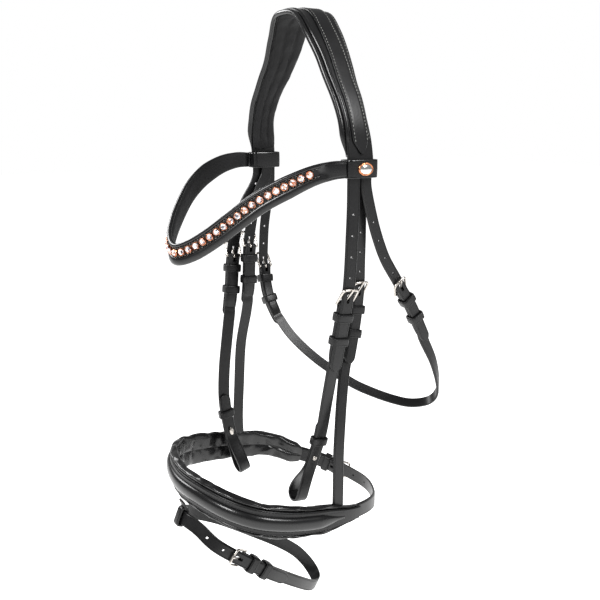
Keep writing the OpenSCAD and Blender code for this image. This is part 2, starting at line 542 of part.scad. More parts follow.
module rear_buckle() color("#c8c8c8") on(nose_route, band_h, 0) buckle_frame(rear_w);
module rear_tongue() color("#d4d4d4") on(nose_route, band_h, 0) buckle_tongue();
module rear_keeper() color("#161618") on(nose_route, band_h, 13) buckle_keeper(rear_w, keeper_l);
module rear_runner() color("#161618") on(nose_route, band_h, 29) buckle_keeper(rear_w, runner_l);

// ---- Throatlatch ----
throat = route(throat_route);
throat_len = total(throat);
throat_back = route(flip(throat_route));
throat_h_back = [for (e = flip(throat_h)) [1 - e[0], -e[1]]];
throat_bar_near = 128 * head_h / base_h;
throat_bar_off = 112 * head_h / base_h;
module throat_billet_near() color("#1c1c1e") billet(throat, throat_h, flex_gap, throat_bar_near, throat_w, 4);
module throat_billet_off() color("#1c1c1e")
    billet(throat_back, throat_h_back, flex_gap, throat_bar_off, throat_w, 4);
module throatlatch() color("#1a1a1c") {
    far_bar = throat_len - throat_bar_off;
    difference() {
        union() {
            on(throat, throat_h, throat_bar_near) chape_end(throat_w);
            on(throat, throat_h, far_bar) chape_end(throat_w);
            ribbon(throat, throat_h, concat(
                plain(throat_bar_near, throat_bar_near + chape_l - thin, -strap_t, strap_t, throat_w),
                plain(throat_bar_near + chape_l, far_bar - chape_l, -strap_t / 2, strap_t / 2, throat_w),
                plain(far_bar - chape_l + thin, far_bar, -strap_t, strap_t, throat_w)));
        }
        on(throat, throat_h, throat_bar_near) chape_cuts(throat_w);
        on(throat, throat_h, far_bar) chape_cuts(throat_w);
    }
}
module throat_buckle_near() color("#c8c8c8") on(throat, throat_h, throat_bar_near) buckle_frame(throat_w);
module throat_buckle_off() color("#c8c8c8") on(throat_back, throat_h_back, throat_bar_off) buckle_frame(throat_w);
module throat_tongue_near() color("#d4d4d4") on(throat, throat_h, throat_bar_near) buckle_tongue();
module throat_tongue_off() color("#d4d4d4") on(throat_back, throat_h_back, throat_bar_off) buckle_tongue();
module throat_keepers() color("#161618") {
    on(throat, throat_h, throat_bar_near + 13) buckle_keeper(throat_w, keeper_l);
    on(throat_back, throat_h_back, throat_bar_off + 13) buckle_keeper(throat_w, keeper_l);
}
module throat_runner_near() color("#161618") on(throat, throat_h, throat_bar_near + runner_at)
    buckle_keeper(throat_w, runner_l);
module throat_runner_off() color("#161618") on(throat_back, throat_h_back, throat_bar_off + runner_at)
    buckle_keeper(throat_w, runner_l);

// ---- Flash ----
flash = route(flash_route, 1);
flash_turn = near_match(flash, fit(flash_route[1]), total(flash) * 0.5);
flash_rise = 45;                     // length over which the strap climbs to pass over the bar
function flash_n(s) = let (k = min(1, max(0, (s - (flash_turn - flash_rise - 20)) / flash_rise)))
    billet_n * (3 * k * k - 2 * k * k * k);
flash_tail = 66;
flash_chape = 42;                    // length of the doubled end
module flash_strap() color("#1a1a1c") difference() {
    end = flash_turn + flash_tail;
    union() {
        on(flash, flash_h, 0) chape_end(flash_w);
        ribbon(flash, flash_h, concat(plain(0, flash_chape - thin, -strap_t, strap_t, flash_w),
            [for (s = even(flash_chape, end - tip_l, 6))
            [s, flash_n(s) - strap_t / 2, flash_n(s) + strap_t / 2, flash_w]],
            [for (k = [[0.4, 0.75], [0.1, 0.4], [0, 0.15]])
                [end - tip_l * k[0], billet_n - strap_t / 2, billet_top, flash_w * k[1]]]));
    }
    on(flash, flash_h, 0) chape_cuts(flash_w);
    on(flash, flash_h, flash_turn) billet_slot();
    for (i = [1:2]) on(flash, flash_h, flash_turn - (slot_low + slot_high) / 2 - i * hole_pitch)
        cylinder(d = punch_d, h = 16, center = true);
}
module flash_buckle() color("#c8c8c8") on(flash, flash_h, 0) buckle_frame(flash_w);
module flash_tongue() color("#d4d4d4") on(flash, flash_h, 0) buckle_tongue();
module flash_keepers() color("#161618") on(flash, flash_h, 13) buckle_keeper(flash_w, keeper_l);
module flash_runner() color("#161618") on(flash, flash_h, 30) buckle_keeper(flash_w, runner_l);
// Tab on the noseband's lower edge, with a loop that the flash strap passes through
tab_t = 2.2;
tab_w = 10;
tab_gap = 1.4;
loop_s = near_match(flash, fit(flash_route[16]), flash_turn / 2) - 7 * head_w / base_w;
tab_top = [0, fit(nose_half[0]).y - 1, fit(nose_half[0]).z - nose_h / 2 - 2];
module flash_loop() color("#161618") {
    w = across(flash, flash_h, loop_s);
    half_w = flash_w / 2 + 1;
    foot = at(flash, loop_s) + w * (half_w + tab_t / 2);
    rise = tab_top - foot;
    on(flash, flash_h, loop_s) rotate([90, 0, 0]) linear_extrude(tab_w - 2, center = true) difference() {
        square([2 * (half_w + tab_t), strap_t + 2 * (tab_gap + tab_t)], center = true);
        square([2 * half_w, strap_t + 2 * tab_gap], center = true);
    }
    translate([-tab_w / 2, foot.y, foot.z]) rotate([atan2(rise.z, rise.y) - 90, 0, 0])
        translate([0, -tab_t / 2, 0]) cube([tab_w, tab_t, norm([rise.y, rise.z])]);
}

crown_leather();
crown_padding();
crown_rolled_edge();
crown_overlays();
browband_strap();
browband_lining();
browband_loops();
crystal_cups();
crystals();
button_rims();
button_domes();
cheek_billet_near();
cheekpiece_near();
cheek_buckle_near();
cheek_tongue_near();
cheek_keepers_near();
cheek_runner_near();
hook_stud_near();
cheek_billet_off();
cheekpiece_off();
cheek_buckle_off();
cheek_tongue_off();
cheek_keepers_off();
cheek_runner_off();
hook_stud_off();
noseband_billet_near();
noseband_hanger_near();
hanger_buckle_near();
hanger_tongue_near();
hanger_runner_near();
noseband_billet_off();
noseband_hanger_off();
hanger_buckle_off();
hanger_tongue_off();
hanger_runner_off();
hanger_keepers();
noseband_leather();
noseband_roll();
noseband_padding();
noseband_rear_strap();
rear_buckle();
rear_tongue();
rear_keeper();
rear_runner();
throat_billet_near();
throat_billet_off();
throatlatch();
throat_buckle_near();
throat_buckle_off();
throat_tongue_near();
throat_tongue_off();
throat_keepers();
throat_runner_near();
throat_runner_off();
flash_loop();
flash_strap();
flash_buckle();
flash_tongue();
flash_keepers();
flash_runner();
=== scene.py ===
import math
import random
import bpy
import bmesh
from mathutils import Matrix, Vector


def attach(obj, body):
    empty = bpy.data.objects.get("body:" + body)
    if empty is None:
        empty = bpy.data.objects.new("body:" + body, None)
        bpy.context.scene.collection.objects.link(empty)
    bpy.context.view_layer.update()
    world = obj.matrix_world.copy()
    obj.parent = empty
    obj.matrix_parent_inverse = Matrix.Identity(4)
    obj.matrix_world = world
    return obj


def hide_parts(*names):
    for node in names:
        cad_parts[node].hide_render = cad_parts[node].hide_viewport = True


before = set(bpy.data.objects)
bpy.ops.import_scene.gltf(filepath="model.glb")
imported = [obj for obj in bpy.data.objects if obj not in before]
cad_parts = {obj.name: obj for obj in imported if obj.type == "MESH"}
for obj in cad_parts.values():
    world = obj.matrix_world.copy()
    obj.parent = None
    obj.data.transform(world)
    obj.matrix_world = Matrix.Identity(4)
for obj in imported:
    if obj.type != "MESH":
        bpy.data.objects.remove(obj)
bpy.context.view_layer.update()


def addObject(name, data):
    made = bpy.data.objects.new(name, data)
    bpy.context.scene.collection.objects.link(made)
    return made


def asMesh(name, bm):
    mesh = bpy.data.meshes.new(name)
    bm.to_mesh(mesh)
    bm.free()
    return mesh


# camera, in metres and degrees
view = {"x": 0.615, "y": -0.394, "z": -0.086, "turn": 58.0, "down": 13.9, "lens": 44.4}
turn, down = math.radians(view["turn"]), math.radians(view["down"])
look = Vector((-math.sin(turn) * math.cos(down), math.cos(turn) * math.cos(down), -math.sin(down)))
cameraData = bpy.data.cameras.new("camera")
cameraData.lens = view["lens"]
cameraData.sensor_width = 36
camera = addObject("camera", cameraData)
camera.location = (view["x"], view["y"], view["z"])
camera.rotation_euler = look.to_track_quat("-Z", "Y").to_euler()
bpy.context.scene.camera = camera
bpy.context.scene.view_settings.view_transform = "Standard"  # keeps black leather black on white paper
print("camera ready")

# strap sizes in millimetres, the same as the frame's
leather = {"thick": 2.4, "cheek": 13, "hanger": 12, "throat": 11, "rear": 15, "flash": 13, "punch": 2.5, "slot": 3.2}
buckle = {"billetLift": 4.35, "tilt": 36.2, "slotLow": 0.7, "slotHigh": 9.9, "holePitch": 19, "tail": 66,
          "chape": 55, "keeper": 13, "runner": 36}
fold = {"radius": 2, "thin": 1.66, "lift": 1.22, "share": 0.985}  # a strap turned back on itself round a bar

# middle line of each strap, top to bottom
crownHalf = [(0, -7, 6), (20, -7, 3), (38, -8, -13), (52, -7, -33), (65, -7, -55), (75, -5.5, -74),
    (82, -4.5, -93), (84.5, -2.5, -112), (85.5, -1.75, -123), (85.5, -1.75, -132)]
crownHalfOff = [(0, -7, 6), (18, -5, 3), (33, -2, -13), (47, -1, -33), (62, -3.5, -55), (74, -5, -74),
    (81.5, -4.5, -93), (84.5, -3, -112), (85.5, -1.75, -123), (85.5, -1.75, -132)]
browHalf = [(88, -18.5, -130), (84, -30, -131), (77, -46, -135.5), (67, -66, -145.5), (55, -86, -158),
    (43, -103, -173.5), (30, -119, -189), (16, -133, -201), (0, -141, -206)]
browHalfOff = [(88, -18.5, -130), (87.5, -33, -130), (85, -52, -134), (78.5, -74, -143.5), (68, -94, -157),
    (54, -111, -172.5), (38, -126, -188), (20, -137, -200), (0, -141, -206)]
cheekNear = [(83, -9, -133), (83, -9, -145), (83, -9, -165), (83, -10, -195), (82.5, -11, -225),
    (81.5, -13, -250), (78.5, -16.5, -280), (75, -20.5, -314), (71, -23.5, -345), (66, -28, -386),
    (60, -37, -423), (54.5, -42, -452)]
cheekOff = [(-81, -9, -133), (-81, -9, -146), (-81, -14, -158), (-81, -25, -175), (-81, -35, -198),
    (-80, -41, -218), (-80, -44, -240), (-79, -46, -260), (-78, -49, -280), (-75, -56, -319), (-73, -61, -352),
    (-71, -63, -385), (-70, -59, -416), (-70, -52, -446), (-70, -47, -464)]
hangerNear = [(77, 0, -133), (77, 1, -145), (75, 5, -165), (71.5, 8, -190), (68.5, 10, -215), (67, 11, -240),
    (66.5, 9, -268), (68, 3.3, -296), (71, -4.2, -323), (75, -9.6, -348), (79, -14, -373), (82, -17.3, -400),
    (83.2, -18.2, -430), (83.3, -18.6, -460)]
hangerOff = [(-77, -1, -133), (-77, -2, -146), (-75, -11, -161), (-71, -20, -178), (-68, -26, -198),
    (-66.5, -30, -218), (-66.5, -31, -240), (-68, -31.5, -264), (-73, -32.5, -290), (-79, -37, -328),
    (-82, -38.8, -376), (-83.8, -39.9, -414), (-84.7, -39, -436), (-85.1, -38.4, -452)]
throatLine = [(81.5, 6, -133), (81.5, 6, -146), (81, 12, -168), (80, 20, -190), (79, 31, -213), (78, 45, -233),
    (77, 57.5, -250), (76, 69.5, -266), (75, 80, -284), (74, 92.5, -306), (73, 106, -329), (70, 116, -352),
    (64, 122, -370), (55, 119, -382), (43, 105, -386), (30, 90, -383), (15, 71, -375), (0, 54, -365),
    (-25, 30, -344), (-45, 12, -322), (-58, 1, -301), (-68, -5, -280), (-75, -6, -262), (-79, -5, -243),
    (-80, -4, -222), (-81, -2, -200), (-82, 2, -178), (-82, 5.5, -156), (-82, 6, -145), (-82, 6, -133)]
noseHalf = [(0, -144.5, -430), (34, -139, -431), (63, -125.5, -436), (80, -106, -443), (86.7, -82, -450),
    (88.4, -56.7, -456), (87.6, -29.5, -461), (83.3, 1, -466)]
noseHalfOff = [(0, -144.5, -430), (34, -139, -430.5), (63, -125.5, -433), (80, -106, -438),
    (86.7, -82, -442.5), (88.4, -56.7, -446.5), (87.6, -29.5, -451), (83.3, 1, -458)]
rearHalf = [(71.4, 30, -472), (52.7, 51.3, -479), (27.2, 65, -485), (0, 69, -487)]
flashLine = [(32, -116, -496), (35, -100, -509), (37, -75, -529), (32, -52, -548), (24, -25, -570),
    (13, -3, -588), (2, 11, -595), (-8, 14, -590), (-15, 8, -577), (-20, -4, -562), (-24, -25, -545),
    (-28, -60, -521), (-28, -92, -499), (-24, -120, -482), (-17, -136, -471), (-7, -145.5, -466),
    (7, -145.5, -466), (18, -136.5, -474), (27, -127, -486), (32, -116, -496), (35, -100, -509),
    (37, -75, -529), (32, -52, -548), (24, -25, -570)]


def mirrored(points):
    return [(-p[0], p[1], p[2]) for p in points]


# which way is across each strap, by share of its length
nearAcross = [(0, (0, 1, 0)), (1, (0, 1, 0))]
offAcross = [(0, (0, -1, 0)), (1, (0, -1, 0))]
bandAcross = [(0, (0, 0, 1)), (1, (0, 0, 1))]
throatAcross = [(0, (0, 1, 0)), (0.30, (0, 0.9, 0.4)), (0.42, (-0.7, 0.5, 0.5)), (0.55, (-0.5, 0.6, 0.6)),
                (0.75, (-0.1, 1, 0.3)), (1, (0, 1, 0))]
flashAcross = [(0, (0, 0.63, 0.77)), (0.55, (0, 0.4, 0.9)), (0.67, (0, 0.35, 0.94)), (0.75, (0, 0.63, 0.77)),
               (1, (0, 0.63, 0.77))]


def curvePoint(points, t):
    i = max(0, min(int(math.floor(t)), len(points) - 2))
    f = t - i
    b, c = points[i], points[i + 1]
    a = points[i - 1] if i > 0 else 2 * b - c
    d = points[i + 2] if i + 2 < len(points) else 2 * c - b
    return 0.5 * (2 * b + (c - a) * f + (2 * a - 5 * b + 4 * c - d) * f * f + (3 * b - a - 3 * c + d) * f ** 3)


def layRoute(points, hints, lead=0):
    points = [Vector(p) for p in points]
    marks = [0.0]
    for k in range(1, 6 * (len(points) - 1) + 1):
        marks.append(marks[-1] + (curvePoint(points, k / 6) - curvePoint(points, (k - 1) / 6)).length)
    start = marks[lead * 6]
    return {"points": points, "marks": [m - start for m in marks], "hints": hints, "known": {}}


def pointAt(route, s):
    marks = route["marks"]
    low, high = 0, len(marks) - 1
    while high - low > 1:
        middle = (low + high) // 2
        low, high = (middle, high) if marks[middle] <= s else (low, middle)
    f = (s - marks[low]) / (marks[low + 1] - marks[low])
    return curvePoint(route["points"], (low + f) / 6)


def basisAt(route, s):  # point, across, along and outward at a distance; straight on past the ends
    key = round(s, 3)
    if key not in route["known"]:
        first, last = route["marks"][0], route["marks"][-1]
        held = max(first, min(last, s))
        along = (pointAt(route, min(last, held + 2)) - pointAt(route, max(first, held - 2))).normalized()
        share, hints = s / last, route["hints"]
        lean = Vector(hints[-1][1])
        for (k0, v0), (k1, v1) in zip(hints, hints[1:]):
            if share <= k1:
                t = max(0, (share - k0) / (k1 - k0))
                lean = Vector(v0) * (1 - t) + Vector(v1) * t
                break
        across = (lean - along * lean.dot(along)).normalized()
        route["known"][key] = (pointAt(route, held) + along * (s - held), across, along, along.cross(across))
    return route["known"][key]


def localFrame(route, s):  # X across the strap, Y back up it, Z outward, in metres
    p, across, along, out = basisAt(route, s)
    up = -along
    return Matrix(((across.x, up.x, out.x, p.x), (across.y, up.y, out.y, p.y), (across.z, up.z, out.z, p.z),
                   (0, 0, 0, 1000))) * 0.001


def bend(bm, route):  # flat leather, as (across, along, outward), laid on its route
    for v in bm.verts:
        p, across, along, out = basisAt(route, v.co.y)
        v.co = (p + across * v.co.x + out * v.co.z) * 0.001


crownRoute = layRoute(mirrored(crownHalfOff[::-1]) + crownHalf[1:], nearAcross)
browRoute = layRoute(mirrored(browHalfOff) + browHalf[-2::-1], bandAcross)
cheekRoutes = {"near": layRoute(cheekNear, nearAcross), "off": layRoute(cheekOff, offAcross)}
hangerRoutes = {"near": layRoute(hangerNear, nearAcross), "off": layRoute(hangerOff, offAcross)}
throatRoute = layRoute(throatLine, throatAcross)
throatBack = layRoute(throatLine[::-1], [(1 - k, tuple(-c for c in v)) for k, v in throatAcross[::-1]])
rearBar = [(-35.7, 61.5, -484)]
rearStart = mirrored(rearHalf[1::-1])
noseRing = ([rearHalf[3]] + rearBar + rearStart + mirrored(noseHalfOff[::-1]) + noseHalf[1:] + rearHalf + rearBar
            + rearStart + [(-83.3, 1, -460)])  # its end laps over its start
noseRoute = layRoute(noseRing, bandAcross, 1)
flashRoute = layRoute(flashLine, flashAcross, 1)
cheekBars = {"near": 118, "off": 104}
hangerBars = {"near": 118, "off": 92}
throatBars = {"near": 128, "off": 112}


def passAgain(route, spot, beyond):  # distance where a closed strap comes round to a point again
    return min((m for m in route["marks"] if m > beyond), key=lambda m: (pointAt(route, m) - Vector(spot)).length)


ringLength = passAgain(noseRoute, rearBar[0], noseRoute["marks"][-1] * 0.7)
flashTurn = passAgain(flashRoute, flashLine[1], flashRoute["marks"][-1] * 0.5)
print("routes laid, noseband", round(ringLength), "mm round, flash", round(flashTurn), "mm round")


# ---- materials ----
def shade(hexColour):  # sRGB hex to linear
    parts = [int(hexColour[i:i + 2], 16) / 255 for i in (1, 3, 5)]
    return [c / 12.92 if c <= 0.04045 else ((c + 0.055) / 1.055) ** 2.4 for c in parts] + [1]


def addNode(material, kind, settings=(), links=()):
    node = material.node_tree.nodes.new(kind)
    for key, value in dict(settings).items():
        if isinstance(key, int) or key in node.inputs:
            node.inputs[key].default_value = value
        else:
            setattr(node, key, value)
    for key, source, output in links:
        material.node_tree.links.new(source.outputs[output], node.inputs[key])
    return node


def newMaterial(name, settings):
    material = bpy.data.materials.new(name)
    material.use_nodes = True
    surface = material.node_tree.nodes["Principled BSDF"]
    for key, value in settings.items():
        surface.inputs[key].default_value = value
    return material, surface, addNode(material, "ShaderNodeTexCoord")


def leatherMaterial(name, dark, light, roughness, specular, grain, depth, coat=0.0):
    # aniline dyed bridle leather: fine pores, patchy wax and a gloss that breaks up over the grain
    material, surface, place = newMaterial(name, {"Specular IOR Level": specular, "Coat Weight": coat,
                                                  "Coat Roughness": 0.22})
    links = material.node_tree.links
    pores = addNode(material, "ShaderNodeTexVoronoi", {"Scale": 1000 / grain, "feature": "SMOOTH_F1"},
                    [("Vector", place, "Object")])
    patches = addNode(material, "ShaderNodeTexNoise", {"Scale": 38.0, "Detail": 5.0}, [("Vector", place, "Object")])
    fine = addNode(material, "ShaderNodeTexNoise", {"Scale": 620.0, "Detail": 3.0}, [("Vector", place, "Object")])
    colour = addNode(material, "ShaderNodeMix", {"data_type": "RGBA", 6: shade(dark), 7: shade(light)},
                     [(0, patches, "Fac")])
    gloss = addNode(material, "ShaderNodeMapRange", {"To Min": roughness - 0.07, "To Max": roughness + 0.1},
                    [("Value", patches, "Fac")])
    height = addNode(material, "ShaderNodeMath", {"operation": "ADD"}, [(0, pores, "Distance"), (1, fine, "Fac")])
    bump = addNode(material, "ShaderNodeBump", {"Strength": 0.5, "Distance": depth}, [("Height", height, "Value")])
    links.new(colour.outputs[2], surface.inputs["Base Color"])
    links.new(gloss.outputs["Result"], surface.inputs["Roughness"])
    links.new(bump.outputs["Normal"], surface.inputs["Normal"])
    return material


def metalMaterial(name, colour, roughness, scratch):
    # plated and tumble polished: bright with faint directionless scratches
    material, surface, place = newMaterial(name, {"Base Color": shade(colour), "Metallic": 1.0})
    marks = addNode(material, "ShaderNodeTexNoise", {"Scale": scratch, "Detail": 4.0}, [("Vector", place, "Object")])
    gloss = addNode(material, "ShaderNodeMapRange", {"To Min": roughness * 0.7, "To Max": roughness * 1.5},
                    [("Value", marks, "Fac")])
    bump = addNode(material, "ShaderNodeBump", {"Strength": 0.15, "Distance": 0.0001}, [("Height", marks, "Fac")])
    material.node_tree.links.new(gloss.outputs["Result"], surface.inputs["Roughness"])
    material.node_tree.links.new(bump.outputs["Normal"], surface.inputs["Normal"])
    return material


# grain is drawn at 1.1 to 1.6 mm, coarser than the real 0.4 mm pores, so that it shows
strapLeather = leatherMaterial("waxedStrapLeather", "#09090a", "#111112", 0.36, 0.3, 1.2, 0.0001, 0.05)
gloveLeather = leatherMaterial("softLiningLeather", "#0c0c0d", "#141415", 0.6, 0.22, 1.6, 0.0002)
rolledLeather = leatherMaterial("polishedRolledLeather", "#070708", "#0e0e0f", 0.25, 0.4, 1.1, 0.00005, 0.1)
keeperLeather = leatherMaterial("keeperLeather", "#080809", "#101011", 0.36, 0.3, 1.2, 0.0001, 0.05)
nickel = metalMaterial("polishedNickel", "#b9b4ae", 0.24, 900.0)
copper = metalMaterial("roseCopper", "#c4805c", 0.25, 900.0)
silver = metalMaterial("silverCabochon", "#e3e1de", 0.14, 300.0)
print("metals and leathers mixed")


def threadMaterial(name, colour):
    # waxed linen thread: matte, with the twist as a fine band about every millimetre
    material, surface, place = newMaterial(name, {"Roughness": 0.75, "Specular IOR Level": 0.2})
    twist = addNode(material, "ShaderNodeTexWave", {"Scale": 320.0, "Distortion": 2.0}, [("Vector", place, "Object")])
    dark = [c * 0.55 for c in shade(colour)[:3]] + [1]
    tone = addNode(material, "ShaderNodeMix", {"data_type": "RGBA", 6: dark, 7: shade(colour)}, [(0, twist, "Fac")])
    material.node_tree.links.new(tone.outputs[2], surface.inputs["Base Color"])
    return material


greyThread = threadMaterial("greyLinenThread", "#8b8b88")
blackThread = threadMaterial("blackLinenThread", "#242425")


def stoneMaterial():
    # foil backed cut glass: each facet's colour is a painted reflection, kept as a colour on the mesh, and fine
    # random specks of painted sparkle brighten or darken it
    material, surface, place = newMaterial("crystalWithPaintedReflections", {"Roughness": 0.06, "Metallic": 0.35, "IOR": 1.6,
                                                                "Coat Weight": 1.0, "Coat Roughness": 0.03})
    paintedReflection = addNode(material, "ShaderNodeVertexColor", {"layer_name": "paintedReflection"})
    # painted sparkle: a fine voronoi scales the facet colour between 0.82 and 1.1
    paintedSparkle = addNode(material, "ShaderNodeTexVoronoi", {"Scale": 520.0}, [("Vector", place, "Object")])
    lift = addNode(material, "ShaderNodeMapRange", {"To Min": 0.82, "To Max": 1.1}, [("Value", paintedSparkle, "Distance")])
    tone = addNode(material, "ShaderNodeVectorMath", {"operation": "MULTIPLY"},
                   [(0, paintedReflection, "Color"), (1, lift, "Result")])
    material.node_tree.links.new(tone.outputs["Vector"], surface.inputs["Base Color"])
    return material


crystalStone = stoneMaterial()


# ---- mesh helpers ----
def loft(rings, loop=False):  # a grid wrapped round rings of points, closed round and, with loop, end to end
    rows, count = len(rings) - 1 + int(loop), len(rings[0])
    bm = bmesh.new()
    bmesh.ops.create_grid(bm, x_segments=rows, y_segments=count, size=1)
    for v in bm.verts:
        i, j = round((v.co.x + 1) / 2 * rows), round((v.co.y + 1) / 2 * count)
        v.co = rings[i % len(rings)][j % count]
    bmesh.ops.remove_doubles(bm, verts=bm.verts, dist=0.0005)
    if not loop:
        bmesh.ops.holes_fill(bm, edges=[e for e in bm.edges if e.is_boundary], sides=0)
    bmesh.ops.recalc_face_normals(bm, faces=bm.faces)
    return bm


def join(target, *others):  # adds other bmeshes to the first
    for bm in others:
        mesh = bpy.data.meshes.new("joined")
        bm.to_mesh(mesh)
        target.from_mesh(mesh)
        bm.free()
        bpy.data.meshes.remove(mesh)
    return target


def piece(name, bm, body, material, nodes=(), sharp=38):
    bmesh.ops.recalc_face_normals(bm, faces=bm.faces)
    for f in bm.faces:
        f.smooth = True
    for e in bm.edges:
        e.smooth = e.calc_face_angle(0) < math.radians(sharp)
    mesh = asMesh(name, bm)
    mesh.materials.append(material)
    made = addObject(name, mesh)
    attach(made, body)
    if nodes:
        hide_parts(*nodes)
    return made


def strapEdge(width, thick):  # section of a strap: skived back, bevelled borders with a pressed crease
    h, t = width / 2, thick / 2
    k = min(1, thick / 2.4)
    side = [(-h + 0.3, -t), (-h, -t + 0.35 * k), (-h, t - 0.9 * k), (-h + 0.2, t - 0.5 * k),
            (-h + 0.65, t - 0.16 * k), (-h + 1.15, t), (-h + 1.4, t - 0.32 * k), (-h + 1.7, t - 0.02),
            (-h * 0.5, t + 0.05 * k)]
    return side + [(-u, d) for u, d in side[::-1]] + [(0, -t)]


def leatherRun(line, width, section=strapEdge):  # line holds (along, outward, thickness, share of the width)
    rings = []
    for i, (s, n, thick, share) in enumerate(line):
        before, after = line[max(0, i - 1)], line[min(len(line) - 1, i + 1)]
        turnHere = math.atan2(after[1] - before[1], after[0] - before[0])
        rings.append([(u * share, s - d * math.sin(turnHere), n + d * math.cos(turnHere))
                      for u, d in section(width, thick)])
    return loft(rings)


def evenly(a, b, step):
    count = max(1, round(abs(b - a) / step))
    return [a + (b - a) * i / count for i in range(count + 1)]


def ease(k):
    k = max(0.0, min(1.0, k))
    return 3 * k * k - 2 * k ** 3


tipShape = [(1, 1), (0.82, 0.97), (0.65, 0.9), (0.5, 0.81), (0.36, 0.69), (0.24, 0.56), (0.14, 0.42), (0.06, 0.27),
            (0, 0.1)]


def tipLine(end, n, thick, way=1, length=7):  # the pointed end of a strap
    return [(end - way * length * far, n, thick, share) for far, share in tipShape]


def foldStart(bar, end, chape=None):  # a doubled end: up the back, round the bar, down the front to end
    t, far, share, lift = leather["thick"], bar + (chape or buckle["chape"]), fold["share"], fold["lift"]
    back = []
    for s in evenly(far, bar + 5, 4):
        skived = t * min(1, 0.2 + (far - s) / 8)
        back.append((s, -(skived / 2 + 0.04), skived - 0.08, share))
    turnRound = [(bar + fold["radius"] * math.cos(math.radians(a)), fold["radius"] * math.sin(math.radians(a)),
                  fold["thin"], share) for a in range(290, 69, -20)]
    front = [(s, lift, t - 0.1, 1) for s in evenly(bar + 5, far, 4)]
    level = [(far + 7 * k, lift * (1 - ease(k)), t, 1) for k in (0.25, 0.5, 0.75, 1)]
    return back + turnRound + front + level + [(s, 0, t, 1) for s in evenly(far + 10, end, 3)]


def foldEnd(bar, start, chape=None):  # the same at the other end of a strap
    return [(2 * bar - s, n, t, k) for s, n, t, k in foldStart(bar, 2 * bar - start, chape)][::-1]


def foldCut(bar):  # opening for the tongue where a strap folds round its bar
    return (bar - 6, bar + 6, -4, 4)


def punches(bm, spots, slots=(), boxes=()):  # cuts holes, tongue slots and the slot in a folded end
    cutter = bmesh.new()
    r = leather["punch"] / 2
    for s, low, high in spots:
        bmesh.ops.create_cone(cutter, cap_ends=True, segments=16, radius1=r, radius2=r, depth=high - low,
                              matrix=Matrix.Translation((0, s, (low + high) / 2)))
    r = leather["slot"] / 2
    for a, b, low, high in slots:
        made = bmesh.ops.create_cone(cutter, cap_ends=True, segments=16, radius1=r, radius2=r, depth=high - low,
                                     matrix=Matrix.Translation((0, 0, (low + high) / 2)))["verts"]
        for v in made:
            v.co.y += b - r if v.co.y > 0.001 else a + r
    for a, b, low, high in boxes:
        bmesh.ops.create_cube(cutter, size=1, matrix=Matrix.Translation((0, (a + b) / 2, (low + high) / 2))
                              @ Matrix.Diagonal((leather["slot"], b - a, high - low, 1)))
    made = []
    for label, source in (("blank", bm), ("cutter", cutter)):
        bmesh.ops.recalc_face_normals(source, faces=source.faces)
        made.append(addObject(label, asMesh(label, source)))
    cut = made[0].modifiers.new("cut", "BOOLEAN")
    cut.operation, cut.solver, cut.object = "DIFFERENCE", "EXACT", made[1]
    result = bmesh.new()
    result.from_mesh(bpy.data.meshes.new_from_object(made[0].evaluated_get(bpy.context.evaluated_depsgraph_get())))
    for o in made:
        bpy.data.objects.remove(o)
    return result


def stitchRow(bm, route, spots, size=(0.36, 1.05, 0.26)):  # spots gives (across, outward) at a distance
    for s, u, n in spots:
        p, across, along, out = basisAt(route, s)
        at = (p + across * u + out * n) * 0.001
        turned = Matrix((across, along, out)).transposed().to_4x4()
        bmesh.ops.create_icosphere(bm, subdivisions=1, radius=0.001,
                                   matrix=Matrix.Translation(at) @ turned @ Matrix.Diagonal((*size, 1)))


def tube(points, radii, sides=12, loop=False):  # round wire through points, with its own radius at each
    points = [Vector(p) for p in points]
    rings, side = [], None
    for i, p in enumerate(points):
        before = points[i - 1] if i or loop else p
        after = points[(i + 1) % len(points)] if i + 1 < len(points) or loop else p
        way = (after - before).normalized()
        side = (side - way * side.dot(way)).normalized() if side else way.orthogonal().normalized()
        other = way.cross(side)
        rings.append([p + (side * math.cos(a) + other * math.sin(a)) * radii[i]
                      for a in (2 * math.pi * j / sides for j in range(sides))])
    return loft(rings, loop)


def smoothLine(points, cuts=5):
    points = [Vector(p) for p in points]
    return [curvePoint(points, k / cuts) for k in range(cuts * (len(points) - 1) + 1)]


# stuffs a flat form that is held along its seams; no point moves further than most, in millimetres
def softForm(bm, held, most, frames=12, pressure=4.0):
    bm.verts.index_update()
    flat = bm.copy()
    bmesh.ops.scale(flat, vec=(0.001, 0.001, 0.001), verts=flat.verts)
    form = addObject("softForm", asMesh("softForm", flat))
    form.vertex_groups.new(name="seam").add([v.index for v in bm.verts if held(v.co)], 1, "REPLACE")
    stuffing = form.modifiers.new("stuffing", "CLOTH")
    cloth = stuffing.settings
    cloth.quality, cloth.mass, cloth.air_damping = 6, 0.2, 2
    cloth.use_pressure, cloth.uniform_pressure_force = True, pressure
    cloth.vertex_group_mass = "seam"
    cloth.shrink_min = -0.03
    cloth.effector_weights.gravity = 0
    stuffing.point_cache.frame_end = frames
    for f in range(1, frames + 1):
        bpy.context.scene.frame_set(f)
    puffed = form.evaluated_get(bpy.context.evaluated_depsgraph_get()).data
    for v in bm.verts:
        move = puffed.vertices[v.index].co * 1000 - v.co
        v.co += move * min(1, most / max(move.length, 0.001))
    bpy.data.objects.remove(form)
    bpy.context.scene.frame_set(1)
    return bm


def stitchesFrom(a, b, pitch=3):  # distances of the stitches in a row
    return [a + pitch * i for i in range(int((b - a) / pitch) + 1)]


def rounder(made, levels=1):
    smooth = made.modifiers.new("rounded", "SUBSURF")
    smooth.levels = smooth.render_levels = levels
    return made


# ---- headpiece: lined crown with a double rolled front edge and a stitched outer panel ----
crown = {"width": 38, "ends": 27, "thick": 2.6, "padding": 5.5, "padStop": 13, "rollRadius": 2.4, "panel": 17,
         "panelTip": 14, "channels": 3}
crownLength = crownRoute["marks"][-1]
